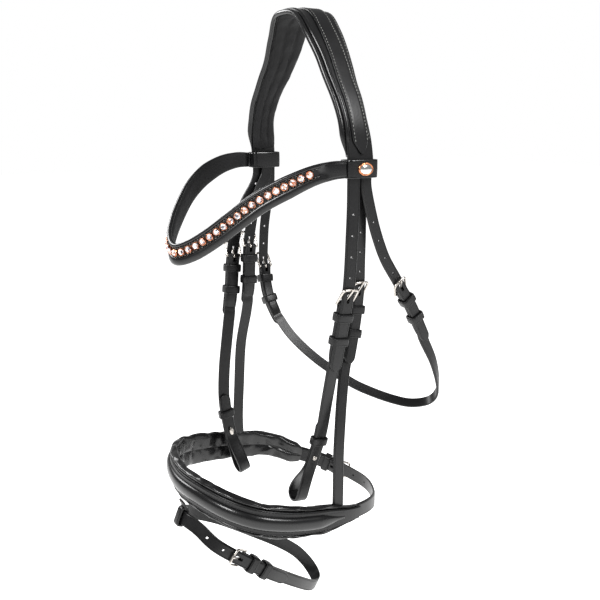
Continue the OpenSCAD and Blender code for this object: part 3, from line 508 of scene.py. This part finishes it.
# width by share of the way from the poll to an end
crownShape = [(0, 38), (0.25, 35), (0.45, 30), (0.6, 26.5), (0.75, 24.5), (0.87, 27), (1, 27)]


def crownWidth(s):
    k = min(1, abs(s - crownLength / 2) / (crownLength / 2))
    for (k0, w0), (k1, w1) in zip(crownShape, crownShape[1:]):
        if k <= k1:
            return w0 + (w1 - w0) * (0.5 * ease((k - k0) / (k1 - k0)) + 0.5 * (k - k0) / (k1 - k0))
    return crown["ends"]


def crownFade(s, length=22):  # swells from nothing at either end of the padding
    return ease((s - crown["padStop"]) / length) * ease((crownLength - crown["padStop"] - s) / length)


def padSection(s):
    half, ripple = crownWidth(s) / 2 - 0.3, 0.16 * math.sin(s / 4.1) + 0.12 * math.sin(s / 2.3 + 1.3)
    rise = 0.35 + 0.65 * crownFade(s, 14)
    ring = [(half - 0.6, -0.2), (0, -0.2), (-half + 0.6, -0.2), (-half, -1.4)]
    for i in range(25):
        u = -half * 0.985 + half * 1.97 * i / 24
        along = (u / half * 0.5 + 0.5) * crown["channels"] % 1
        deep = 2.2 + (crown["padding"] - 2.5 + ripple) * (max(0, 4 * along * (1 - along))) ** 0.45
        edge = max(0, 1 - (abs(u) / half) ** 6) ** 0.5
        ring.append((u, -(0.9 + (deep - 0.9) * edge) * rise))
    return [(u, s, n) for u, n in ring + [(half, -1.4)]]


crownPad = loft([padSection(s) for s in evenly(crown["padStop"], crownLength - crown["padStop"], 4)])
seamEdges = [crownWidth(crownLength / 2) / 6 * k for k in (-1, 1)]
crownPad = softForm(crownPad, lambda p: p.z > -1.5 or min(abs(p.x - e * crownWidth(p.y) / crown["width"])
                                                         for e in seamEdges) < 0.9, 0.9)
bend(crownPad, crownRoute)
pad = rounder(piece("crownPadding", crownPad, "headpiece", gloveLeather, ["crown_padding"], 70))

facing = leatherRun([(s, crown["thick"] / 2, crown["thick"], crownWidth(s) / crown["width"])
                     for s in evenly(0, crownLength, 4)], crown["width"])
bend(facing, crownRoute)
piece("crownFacing", facing, "headpiece", strapLeather, ["crown_leather"])

rolls = []
# the roll outside the front edge, then the smaller one on the facing behind it
for u, n, radius in ((-2.4, 0, crown["rollRadius"]), (1.9, 1.6, 2.2)):
    run = evenly(crown["padStop"], crownLength - crown["padStop"], 4)
    rings = []
    for s in run:
        r = radius * (0.12 + 0.88 * crownFade(s))
        middle = (-crownWidth(s) / 2 + (u if u > 0 else -r - 0.1), n * (0.3 + 0.7 * crownFade(s)))
        rings.append([(middle[0] + r * math.cos(a), s, middle[1] + r * math.sin(a))
                      for a in (2 * math.pi * j / 16 for j in range(16))])
    rolls.append(loft(rings))
edgeRoll = join(*rolls)
bend(edgeRoll, crownRoute)
piece("crownRolledEdge", edgeRoll, "headpiece", rolledLeather, ["crown_rolled_edge"])


def panelWidth(s):
    tip = min(s, crownLength - s) - crown["panelTip"]
    return 0.1 + 0.9 * min(1, max(0, tip / 13)) ** 0.75


panelRun = sorted(evenly(crown["panelTip"], crownLength - crown["panelTip"], 3)
                  + [side + way * k for side, way in ((crown["panelTip"], 1), (crownLength - crown["panelTip"], -1))
                     for k in (0.4, 1, 1.8, 4, 5)])
panel = leatherRun([(s, crown["thick"] + 1.05, 1.7, panelWidth(s)) for s in panelRun], crown["panel"])
bmesh.ops.translate(panel, vec=(1, 0, 0), verts=panel.verts)
bend(panel, crownRoute)
piece("crownOuterPanel", panel, "headpiece", strapLeather, ["crown_overlays"])

crownThread = bmesh.new()
for side in (-1, 1):
    spots = [(s, 1 + side * (crown["panel"] / 2 * panelWidth(s) - 1.9), crown["thick"] + 1.95)
             for s in stitchesFrom(24, crownLength - 24)]
    stitchRow(crownThread, crownRoute, spots)
stitchRow(crownThread, crownRoute, [(s, crownWidth(s) / 2 - 2.5, crown["thick"] + 0.08)
                                    for s in stitchesFrom(26, crownLength - 26)])
piece("crownStitches", crownThread, "headpiece", greyThread)
print("headpiece made")


# ---- browband: padded swoop with a channel of stones ----
brow = {"height": 20, "ends": 15, "stone": 6.0, "pitch": 7.8, "each": 19, "up": 2}
browLength = browRoute["marks"][-1]


def browHeight(s):
    k = abs(s - browLength / 2) / (browLength / 2)
    return brow["ends"] + (brow["height"] - brow["ends"]) * (1 - max(0, k - 0.7) / 0.3)


def browSection(s):
    h, k = browHeight(s) / 2, abs(s - browLength / 2) / (browLength / 2)
    channel = [(h - 0.5, -0.1), (h, 0.9), (h - 0.05, 2.2), (h - 0.7, 3.3), (h - 1.9, 3.8), (h - 3.0, 3.4),
               (h - 3.6, 2.5), (h - 3.9, 1.7), (0, 1.5), (-1.9, 1.6), (-2.3, 2.3), (-3.1, 3.1), (-h * 0.5, 3.4),
               (-h + 2.2, 3.3), (-h + 0.8, 2.5), (-h + 0.1, 1.2), (-h + 0.5, -0.1), (0, -0.1)]
    plain = [(h - 0.5, -0.1), (h, 0.9), (h - 0.2, 1.8), (h - 0.7, 2.3), (h - 1.3, 2.5), (h - 1.6, 2.2),
             (h - 1.9, 2.5), (h * 0.5, 2.65), (0, 2.7), (-1.9, 2.68), (-h * 0.4, 2.62), (-h * 0.6, 2.56),
             (-h + 1.9, 2.5), (-h + 1.6, 2.2), (-h + 1.2, 2.5), (-h + 0.1, 1.2), (-h + 0.5, -0.1), (0, -0.1)]
    flat = ease((k - 0.872) / 0.04)
    return [(a[0] + (b[0] - a[0]) * flat, s, a[1] + (b[1] - a[1]) * flat) for a, b in zip(channel, plain)]


band = loft([browSection(s) for s in evenly(0, browLength, 2.5)])
bend(band, browRoute)
piece("browbandFront", band, "browband", rolledLeather, ["browband_strap"], 50)
back = []
for s in evenly(7, browLength - 7, 4):
    h, swell = browHeight(s) / 2 - 0.8, 0.4 + 0.6 * ease(min(s - 7, browLength - 7 - s) / 14)
    back.append([(u * h, s, n * swell) for u, n in ((1, -0.15), (0, -0.15), (-1, -0.15), (-1.04, -0.9), (-0.95, -1.8),
                 (-0.75, -2.4), (-0.4, -2.6), (0, -2.5), (0.4, -2.6), (0.75, -2.4), (0.95, -1.8), (1.04, -0.9))])
lining = loft(back)
bend(lining, browRoute)
piece("browbandLining", lining, "browband", gloveLeather, ["browband_lining"], 60)

browThread = bmesh.new()
reach = browLength * 0.065
for up in (1, -1):
    spots = [(s, browHeight(s) / 2 - 4.0 if up > 0 else -2.1, 1.95)
             for s in stitchesFrom(reach, browLength - reach)]
    stitchRow(browThread, browRoute, spots, size=(0.38, 1.0, 0.35))
piece("browbandStitches", browThread, "browband", greyThread)

cup = {"foot": 2.9, "mouth": 3.35, "rim": 3.05, "claw": 0.42, "clawAt": 2.75}
cups, stones = bmesh.new(), bmesh.new()
paintedReflectionLayer = stones.loops.layers.color.new("paintedReflection")
# painted reflections: white, grey, pink, copper and dark tones, one picked at random for each stone facet
paintedReflectionTones = ["#ffffff", "#f8f8fa", "#e6e8ee", "#f0d2c0", "#d9a888", "#a4a8b0", "#f4e2d8", "#7b7678", "#fbfbff"]
chance = random.Random(4)
for i in range(-brow["each"], brow["each"] + 1):
    place = localFrame(browRoute, browLength / 2 + i * brow["pitch"]) @ Matrix.Translation((brow["up"], 0, 0))
    bmesh.ops.create_cone(cups, cap_ends=True, segments=14, radius1=cup["foot"], radius2=cup["mouth"], depth=2.0,
                          matrix=place @ Matrix.Translation((0, 0, 2.5)))
    join(cups, tube([place @ Vector((cup["rim"] * math.cos(a), cup["rim"] * math.sin(a), 3.75))
                     for a in (2 * math.pi * j / 14 for j in range(14))], [0.0004] * 14, 6, True))
    for j in range(4):
        a = math.pi * (j + 0.5) / 2
        bmesh.ops.create_icosphere(cups, subdivisions=1, radius=cup["claw"], matrix=place @ Matrix.Translation(
            (cup["clawAt"] * math.cos(a), cup["clawAt"] * math.sin(a), 4.35)))
    r, turned = brow["stone"] / 2, Matrix.Rotation(chance.random() * 0.8, 4, "Z")
    before = len(stones.faces)
    for low, high, base, top, twist in ((3.5, 4.75, r, r * 0.78, 0), (4.7, 5.9, r * 0.8, r * 0.42, math.pi / 8)):
        bmesh.ops.create_cone(stones, cap_ends=True, segments=8, radius1=base, radius2=top, depth=high - low,
                              matrix=place @ turned @ Matrix.Rotation(twist, 4, "Z")
                              @ Matrix.Translation((0, 0, (low + high) / 2)))
    # each facet is coloured with a painted reflection
    for f in list(stones.faces)[before:]:
        tone = shade(chance.choice(paintedReflectionTones))
        for corner in f.loops:
            corner[paintedReflectionLayer] = tone
piece("stoneCups", cups, "browband", copper, ["crystal_cups"])
piece("browbandStones", stones, "browband", crystalStone, ["crystals"], 8)


def boxPath(halfWide, halfTall, corner, bow=0.25):  # rounded rectangle: points and the way out at each
    path = []
    for cx, cy, start in ((1, 1, 0), (-1, 1, 90), (-1, -1, 180), (1, -1, 270)):
        for k in range(5):
            a = math.radians(start + 22.5 * k)
            path.append(((cx * (halfWide - corner) + corner * math.cos(a), cy * (halfTall - corner)
                          + corner * math.sin(a)), (math.cos(a), math.sin(a))))
        a = math.radians(start + 90)
        side = (round(math.cos(a)), round(math.sin(a)))
        path.append(((side[0] * (halfWide + bow * 0.4), side[1] * (halfTall + bow)), side))
    return path


def leatherLoop(place, halfWide, halfTall, thick, length, corner=1.0, bow=0.25):  # keeper, long in Y
    h, c = length / 2, 0.55
    section = [(0, -h + 0.2), (0, h - 0.2), (thick * 0.4, h), (thick - 0.2, h - 0.25), (thick, h - c - 0.3),
               (thick - 0.28, h - c - 0.55), (thick, h - c - 0.85), (thick + 0.12, 0), (thick, -h + c + 0.85),
               (thick - 0.28, -h + c + 0.55), (thick, -h + c + 0.3), (thick - 0.2, -h + 0.25), (thick * 0.4, -h)]
    rings = [[place @ Vector((x + ox * d, y, z + oz * d)) for d, y in section]
             for (x, z), (ox, oz) in boxPath(halfWide, halfTall, corner, bow)]
    bm = loft([[p * 1000 for p in ring] for ring in rings], True)
    bmesh.ops.scale(bm, vec=(0.001, 0.001, 0.001), verts=bm.verts)
    return bm


browLoop = {"low": (79, -16), "high": (90.95, 12.5), "top": -122, "height": 16, "thick": 2}
loops = []
for side in (-1, 1):
    (x0, y0), (x1, y1) = browLoop["low"], browLoop["high"]
    # X of the loop runs fore and aft, its Z out from the head
    place = Matrix(((0, 0, side, side * (x0 + x1) / 2), (1, 0, 0, (y0 + y1) / 2),
                    (0, 1, 0, browLoop["top"] - browLoop["height"] / 2), (0, 0, 0, 1000))) * 0.001
    loops.append(leatherLoop(place, (y1 - y0) / 2, (x1 - x0) / 2, browLoop["thick"], browLoop["height"], 2.2, 0.05))
piece("browbandLoops", join(*loops), "browband", rolledLeather, ["browband_loops"])

button = {"long": 15.4, "tall": 11.4, "x": 93.05, "y": -1, "z": -130}
rims, domes = [], bmesh.new()
for side in (-1, 1):
    place = Matrix(((0, 0, side, side * button["x"]), (1, 0, 0, button["y"]), (0, 1, 0, button["z"]),
                    (0, 0, 0, 1000))) * 0.001
    a, b = button["long"] / 2, button["tall"] / 2
    rims.append(tube([place @ Vector(((a - 0.8) * math.cos(t), (b - 0.8) * math.sin(t), 1.0))
                      for t in (2 * math.pi * j / 40 for j in range(40))], [0.0009] * 40, 8, True))
    made = bmesh.ops.create_uvsphere(domes, u_segments=32, v_segments=16, radius=1)["verts"]
    bmesh.ops.transform(domes, verts=made, matrix=place @ Matrix.Translation((0, 0, 0.9))
                        @ Matrix.Diagonal((a - 1.1, b - 1.1, 2.3, 1)))
    under = bmesh.ops.create_cone(domes, cap_ends=True, segments=32, radius1=1, radius2=1, depth=1.0)["verts"]
    bmesh.ops.transform(domes, verts=under, matrix=place @ Matrix.Translation((0, 0, 0.5))
                        @ Matrix.Diagonal((a - 1, b - 1, 1, 1)))
piece("buttonRims", join(*rims), "browband", copper, ["button_rims"])
piece("buttonDomes", domes, "browband", silver, ["button_domes"])
print("browband made with", 2 * brow["each"] + 1, "stones")


# ---- straps ----
def billet(name, route, bar, width, holes, body, node):
    end = bar + buckle["tail"]
    n, t = buckle["billetLift"], leather["thick"]
    line = [(s, n, t, 1) for s in evenly(1.5, end - 10, 3)] + tipLine(end, n, t)
    middle = bar - (buckle["slotLow"] + buckle["slotHigh"]) / 2
    low, high = n - 3, n + 3
    spots = [(middle - buckle["holePitch"] * i, low, high) for i in range(1, holes + 1)]
    bm = punches(leatherRun(line, width), spots,
                 [(bar - buckle["slotHigh"], bar - buckle["slotLow"], low, high)])
    bend(bm, route)
    return piece(name, bm, body, strapLeather, [node])


cheek = {"hook": 44, "tip": 84, "loopRadius": 7.7, "lap": 38, "behind": -2.5}
behind = cheek["behind"]
for side, route in cheekRoutes.items():
    body, bar, width = "cheek_" + side, cheekBars[side], leather["cheek"]
    billet("cheekBillet." + side, route, bar, width, 4, body, "cheek_billet_" + side)
    end, r, t = route["marks"][-1] - 3, cheek["loopRadius"], leather["thick"]
    round180 = [(end + r * math.sin(math.radians(a)), -r + r * math.cos(math.radians(a)), t, 1)
                for a in range(0, 181, 15)]
    lap = [(end - cheek["lap"] * k, -2 * r + (2 * r + behind) * ease(k), t, 0.985)
           for k in [i / 12 for i in range(1, 13)]]
    tail = [(s, behind, t, 0.985) for s in evenly(end - cheek["lap"] - 3, end - cheek["tip"] + 10, 3)]
    line = foldStart(bar, end - 3) + round180 + lap + tail + tipLine(end - cheek["tip"], behind, t, -1)
    spot = end - cheek["hook"]
    bm = punches(leatherRun(line, width), [(spot, -12, 8)], (), [foldCut(bar)])
    bend(bm, route)
    piece("cheekpiece." + side, bm, body, strapLeather, ["cheekpiece_" + side])
    at = localFrame(route, spot)
    stud = bmesh.new()
    bmesh.ops.create_cone(stud, cap_ends=True, segments=16, radius1=1.15, radius2=1.15, depth=8,
                          matrix=at @ Matrix.Translation((0, 0, -2.4)))
    # a round cap in front and a long foot behind
    for up, wide, deep, shift in ((1.5, (2.2, 2.2), 0.8, 0), (-6.1, (2.2, 4.6), 0.75, -2.5)):
        made = bmesh.ops.create_uvsphere(stud, u_segments=20, v_segments=10, radius=1)["verts"]
        bmesh.ops.transform(stud, verts=made, matrix=at @ Matrix.Translation((0, shift, up))
                            @ Matrix.Diagonal((*wide, deep, 1)))
    piece("hookStud." + side, stud, body, nickel, ["hook_stud_" + side])

for side, route in hangerRoutes.items():
    bar, width = hangerBars[side], leather["hanger"]
    billet("nosebandBillet." + side, route, bar, width, 3, "noseband", "noseband_billet_" + side)
    bm = punches(leatherRun(foldStart(bar, route["marks"][-1] - 1), width), [], (), [foldCut(bar)])
    bend(bm, route)
    piece("nosebandHanger." + side, bm, "noseband", strapLeather, ["noseband_hanger_" + side])

throatFar = throatRoute["marks"][-1] - throatBars["off"]
throatSides = {"near": throatRoute, "off": throatBack}
for side, route in throatSides.items():
    billet("throatBillet." + side, route, throatBars[side], leather["throat"], 4, "throat", "throat_billet_" + side)
half = (throatBars["near"] + throatFar) / 2
line = foldStart(throatBars["near"], half) + foldEnd(throatFar, half + 3)
bm = punches(leatherRun(line, leather["throat"]), [], (),
             [foldCut(b) for b in (throatBars["near"], throatFar)])
bend(bm, throatRoute)
piece("throatlatch", bm, "throat", strapLeather, ["throatlatch"])
print("cheeks, hangers and throatlatch made")


# ---- buckles, tongues and keepers ----
metal = {"wire": 1.2, "bar": 1.1, "eye": 1.75, "reach": 20.3}


def buckleFrame(name, place, width, body, node):
    a = width / 2 + 1.8
    half = [(a, 0, 0), (a, 4.5, 2.5), (a, 9.8, 5.4), (a - 0.35, 12.3, 6.8), (a - 1.7, 13.7, 7.5), (a - 4, 14.1, 7.75)]
    line = smoothLine(half + [(0, 14.35, 7.85)] + [(-x, y, z) for x, y, z in half[::-1]], 4)
    wire = tube(line, [metal["wire"]] * len(line), 12)
    bar = tube([(-a, 0, 0), (-a + 1, 0, 0), (0, 0, 0), (a - 1, 0, 0), (a, 0, 0)], [metal["bar"]] * 5, 12)
    for side in (-1, 1):
        bmesh.ops.create_uvsphere(bar, u_segments=12, v_segments=8, radius=1.35,
                                  matrix=Matrix.Translation((side * a, 0, 0)))
    bm = join(wire, bar)
    bmesh.ops.transform(bm, matrix=place, verts=bm.verts)
    piece(name, bm, body, nickel, [node])


def buckleTongue(name, place, body, node):
    tilt = math.radians(buckle["tilt"])
    ring = tube([(0, metal["eye"] * math.cos(a), metal["eye"] * math.sin(a))
                 for a in (2 * math.pi * j / 16 for j in range(16))], [0.58] * 16, 8, True)
    bmesh.ops.scale(ring, vec=(2, 1, 1), verts=ring.verts)
    line = [(0, k * math.cos(tilt), k * math.sin(tilt)) for k in (1.7, 3, 6, 10, 14, 17, 18.6, 19.6, metal["reach"])]
    pin = tube(line, [1.15, 1.05, 0.98, 0.95, 0.93, 0.9, 0.82, 0.6, 0.25], 10)
    bm = join(ring, pin)
    bmesh.ops.transform(bm, matrix=place, verts=bm.verts)
    piece(name, bm, body, nickel, [node])


def keeper(route, s, width, length=8, low=-2.4, high=None):
    high = buckle["billetLift"] + 1.2 if high is None else high
    place = localFrame(route, s) @ Matrix.Translation((0, 0, (low + high) / 2))
    return leatherLoop(place, width / 2 + 0.6, (high - low) / 2 + 0.6, 1.4, length)


loopedLeather = {"cheek": [], "hanger": [], "throat": []}
for side in ("near", "off"):
    for kind, route, bar, body in (("cheek", cheekRoutes[side], cheekBars[side], "cheek_" + side),
                                   ("hanger", hangerRoutes[side], hangerBars[side], "noseband"),
                                   ("throat", throatSides[side], throatBars[side], "throat")):
        place, label = localFrame(route, bar), kind + "_" + side
        node = kind + "_buckle_" + side
        buckleFrame(kind + "Buckle." + side, place, leather[kind], body, node)
        buckleTongue(kind + "Tongue." + side, place, "pin_" + label, kind + "_tongue_" + side)
        piece(kind + "Runner." + side, keeper(route, bar + buckle["runner"], leather[kind]), "slider_" + label,
              keeperLeather, [kind + "_runner_" + side])
        loopedLeather[kind].append(keeper(route, bar + buckle["keeper"], leather[kind]))
    low = keeper(cheekRoutes[side], cheekRoutes[side]["marks"][-1] - 65, leather["cheek"], 8, -3.7, 1.2)
    piece("cheekKeepers." + side, join(loopedLeather["cheek"].pop(), low), "cheek_" + side, keeperLeather,
          ["cheek_keepers_" + side])
piece("hangerKeepers", join(*loopedLeather["hanger"]), "noseband", keeperLeather,
      ["hanger_keepers"])
piece("throatKeepers", join(*loopedLeather["throat"]), "throat", keeperLeather, ["throat_keepers"])
print("buckles and keepers made")


# ---- noseband ----
nose = {"taper": 0.26, "height": 35, "roll": 14, "rollLift": 7, "padFrom": 40,
        "padTo": ringLength - 149, "rearFrom": ringLength - 164, "rearTail": 62, "facing": 12.7}


def noseWidth(s):
    narrow, middle = leather["rear"] + 2, (nose["padFrom"] + nose["padTo"]) / 2
    body = nose["height"] * (1 - nose["taper"] * ((s - middle) / (nose["padTo"] - middle)) ** 2)
    return narrow + (body - narrow) * ease(min(1, (s - nose["padFrom"]) / 16, (nose["padTo"] - s) / 48))


nosePadRing = [(0.72, -0.1), (0, -0.1), (-0.72, -0.1), (-0.75, 0.7), (-0.8, 1.7), (-0.87, 2.3), (-0.94, 1.9),
               (-0.99, 0.5), (-1.0, -1.2), (-0.98, -3.0), (-0.93, -4.6), (-0.82, -5.8), (-0.66, -6.4), (-0.48, -6.5),
               (-0.3, -6.2), (-0.14, -5.6), (-0.04, -4.9), (0.0, -4.7), (0.04, -4.9), (0.14, -5.6), (0.3, -6.2),
               (0.48, -6.5), (0.66, -6.4), (0.82, -5.8), (0.93, -4.6), (0.98, -3.0), (1.0, -1.2), (0.99, 0.5),
               (0.94, 1.9), (0.87, 2.3), (0.8, 1.7), (0.75, 0.7)]
padRings = []
for s in evenly(nose["padFrom"] + 3, nose["padTo"] - 2, 4):
    h, swell = noseWidth(s) / 2, 0.3 + 0.7 * ease(min(s - nose["padFrom"] - 2, nose["padTo"] - s) / 16)
    ripple = 1 + 0.025 * math.sin(s / 4.3) + 0.02 * math.sin(s / 2.6 + 0.8)
    padRings.append([(u * h, s, n * swell * (ripple if n < -2 else 1)) for u, n in nosePadRing])
nosePad = softForm(loft(padRings),
                   lambda p: abs(p.x) < 0.9 or (p.z > -0.6 and abs(p.x) < noseWidth(p.y) * 0.41), 1.0)
bend(nosePad, noseRoute)
pad = rounder(piece("nosebandPadding", nosePad, "noseband", rolledLeather, ["noseband_padding"],
                    75))

front = leatherRun([(s, 1.5, 2.7, noseWidth(s) / nose["height"])
                    for s in evenly(nose["padFrom"] - 1, nose["padTo"], 3)], 2 * nose["facing"])
chape = punches(leatherRun(foldStart(0, nose["padFrom"] + 16, 30), leather["rear"]), [], (), [foldCut(0)])
front = join(front, chape)
bend(front, noseRoute)
piece("nosebandFacing", front, "noseband", strapLeather, ["noseband_leather"])

rollRings = []
rollFrom, rollTo = 64, nose["padTo"] - 22
for s in evenly(rollFrom, rollTo, 4):
    k = 0.2 + 0.8 * ease(min((s - rollFrom) / 14, (rollTo - s) / 34))
    wide, rise = nose["roll"] / 2 * k, (nose["rollLift"] - 2.3) * k
    rollRings.append([(wide * math.cos(a), s, 2.3 + rise * math.sin(a) ** 0.85)
                      for a in (math.pi * j / 14 for j in range(15))] + [(0, s, 2.2)])
roll = loft(rollRings)
bend(roll, noseRoute)
piece("nosebandRoll", roll, "noseband", rolledLeather, ["noseband_roll"], 50)

noseThread = bmesh.new()
for side in (-1, 1):
    for edge in (0.905, 0.66):
        stitchRow(noseThread, noseRoute, [(s, side * nose["facing"] * edge * noseWidth(s) / nose["height"], 2.86)
                                          for s in stitchesFrom(rollFrom, rollTo)])
piece("nosebandStitches", noseThread, "noseband", blackThread)


def climb(s, end, length, low):  # a tail rises from its own strap to lie over the buckle
    k = ease((s - (end - length[0])) / length[1])
    return low + (buckle["billetLift"] - low) * k


def tailCuts(end, deep):  # two holes beyond the one in use, and the cut that the tongue leans through
    middle = end - (buckle["slotLow"] + buckle["slotHigh"]) / 2
    return ([(middle - buckle["holePitch"] * i, -6, 12) for i in (1, 2)],
            [(end - buckle["slotHigh"], end - buckle["slotLow"], *deep)])


rearEnd = ringLength + nose["rearTail"]
line = [(s, climb(s, ringLength, (90, 60), -1.3), leather["thick"], 1)
        for s in evenly(nose["rearFrom"], rearEnd - 10, 3)]
line += tipLine(rearEnd, buckle["billetLift"], leather["thick"])
bm = punches(leatherRun(line, leather["rear"]), *tailCuts(ringLength, (-2, 10)))
bend(bm, noseRoute)
piece("rearStrap", bm, "noseband", strapLeather, ["noseband_rear_strap"])
place = localFrame(noseRoute, 0)
buckleFrame("rearBuckle", place, leather["rear"], "noseband", "rear_buckle")
buckleTongue("rearTongue", place, "pin_rear", "rear_tongue")
piece("rearKeeper", keeper(noseRoute, buckle["keeper"], leather["rear"]), "noseband", keeperLeather,
      ["rear_keeper"])
piece("rearRunner", keeper(noseRoute, 29, leather["rear"]), "slider_rear", keeperLeather,
      ["rear_runner"])
print("noseband made")


# ---- flash strap ----
flash = {"tail": 66, "chape": 42, "loopWide": 7.5, "loopTall": 2.6, "loopThick": 2.2, "tab": 10}
flashEnd = flashTurn + flash["tail"]
line = foldStart(0, flash["chape"] + 12, flash["chape"] - 6)
line += [(s, climb(s, flashTurn, (65, 45), 0), leather["thick"], 1)
         for s in evenly(flash["chape"] + 15, flashEnd - 10, 3)]
line += tipLine(flashEnd, buckle["billetLift"], leather["thick"])
bm = punches(leatherRun(line, leather["flash"]), *tailCuts(flashTurn, (2.5, 8)), [(-6, 6, -4, 2.95)])
bend(bm, flashRoute)
piece("flashStrap", bm, "flash", strapLeather, ["flash_strap"])
place = localFrame(flashRoute, 0)
buckleFrame("flashBuckle", place, leather["flash"], "flash", "flash_buckle")
buckleTongue("flashTongue", place, "pin_flash", "flash_tongue")
piece("flashKeeper", keeper(flashRoute, buckle["keeper"], leather["flash"]), "flash", keeperLeather,
      ["flash_keepers"])
piece("flashRunner", keeper(flashRoute, 30, leather["flash"]), "slider_flash", keeperLeather,
      ["flash_runner"])

loopSpot = passAgain(flashRoute, flashLine[16], flashTurn / 2) - 7  # at the front, below the noseband
p, across, along, out = basisAt(flashRoute, loopSpot)
foot = p + across * (flash["loopWide"] + flash["loopThick"] / 2)
top = Vector(noseHalf[0]) - Vector((0, 1, nose["height"] / 2 + 2))  # just under the noseband's front
way = (foot - top).normalized()
outward = way.cross(Vector((1, 0, 0))).normalized()
tabRings = []
for k in [i / 10 for i in range(11)]:
    section = strapEdge(flash["tab"] * (1 + 0.12 * (1 - 4 * k * (1 - k))), flash["loopThick"])
    tabRings.append([top + (foot - top) * k + Vector((u, 0, 0)) + outward * d for u, d in section])
tab = loft(tabRings)
bmesh.ops.scale(tab, vec=(0.001, 0.001, 0.001), verts=tab.verts)
place = localFrame(flashRoute, loopSpot)
loop = leatherLoop(place, flash["loopWide"], flash["loopTall"], flash["loopThick"], flash["tab"] - 2, 1.2, 0)
tab = join(tab, loop)
piece("flashLoop", tab, "flash", keeperLeather, ["flash_loop"])
print("flash strap made")


# ---- studio ----
studio = {"floor": -0.78, "paper": "#fbfbfa", "seen": 1.0, "light": 0.3, "glow": 0.85}
paper, surface, place = newMaterial("paperBackdrop", {"Roughness": 0.9, "Specular IOR Level": 0.1,
                                                       "Emission Color": (1, 1, 1, 1),
                                                       "Emission Strength": studio["glow"]})
mottle = addNode(paper, "ShaderNodeTexNoise", {"Scale": 3.0}, [("Vector", place, "Object")])
tone = addNode(paper, "ShaderNodeMix", {"data_type": "RGBA", 6: shade(studio["paper"]), 7: shade("#f7f7f6")},
               [(0, mottle, "Fac")])
paper.node_tree.links.new(tone.outputs[2], surface.inputs["Base Color"])
floor = bmesh.new()
bmesh.ops.create_grid(floor, x_segments=2, y_segments=2, size=9, matrix=Matrix.Translation((0, 0, studio["floor"])))
mesh = asMesh("studioFloor", floor)
mesh.materials.append(paper)
ground = addObject("studioFloor", mesh)

world = bpy.data.worlds.new("studio")
world.use_nodes = True
sky = world.node_tree.nodes["Background"]
sky.inputs["Color"].default_value = (1, 1, 1, 1)
# white paper behind the bridle, but a dim room round it, so that black leather stays black
rays = world.node_tree.nodes.new("ShaderNodeLightPath")
strength = world.node_tree.nodes.new("ShaderNodeMapRange")
strength.inputs["To Min"].default_value, strength.inputs["To Max"].default_value = studio["light"], studio["seen"]
world.node_tree.links.new(rays.outputs["Is Camera Ray"], strength.inputs["Value"])
world.node_tree.links.new(strength.outputs["Result"], sky.inputs["Strength"])
bpy.context.scene.world = world


def softbox(name, spot, target, size, power):
    lamp = bpy.data.lights.new(name, "AREA")
    lamp.shape, lamp.size, lamp.energy = "DISK", size, power
    made = addObject(name, lamp)
    made.location = spot
    made.rotation_euler = (Vector(target) - Vector(spot)).to_track_quat("-Z", "Y").to_euler()


lamps = {"keyLight": {"at": (0.5, -1.3, 0.9), "aim": -0.25, "wide": 0.7, "watts": 32},
         "rimLight": {"at": (1.3, 0.6, 0.9), "aim": -0.3, "wide": 0.6, "watts": 26},
         "farLight": {"at": (-1.2, -0.5, 0.6), "aim": -0.3, "wide": 0.7, "watts": 14}}
for name, lamp in lamps.items():
    softbox(name, lamp["at"], (0, 0, lamp["aim"]), lamp["wide"], lamp["watts"])
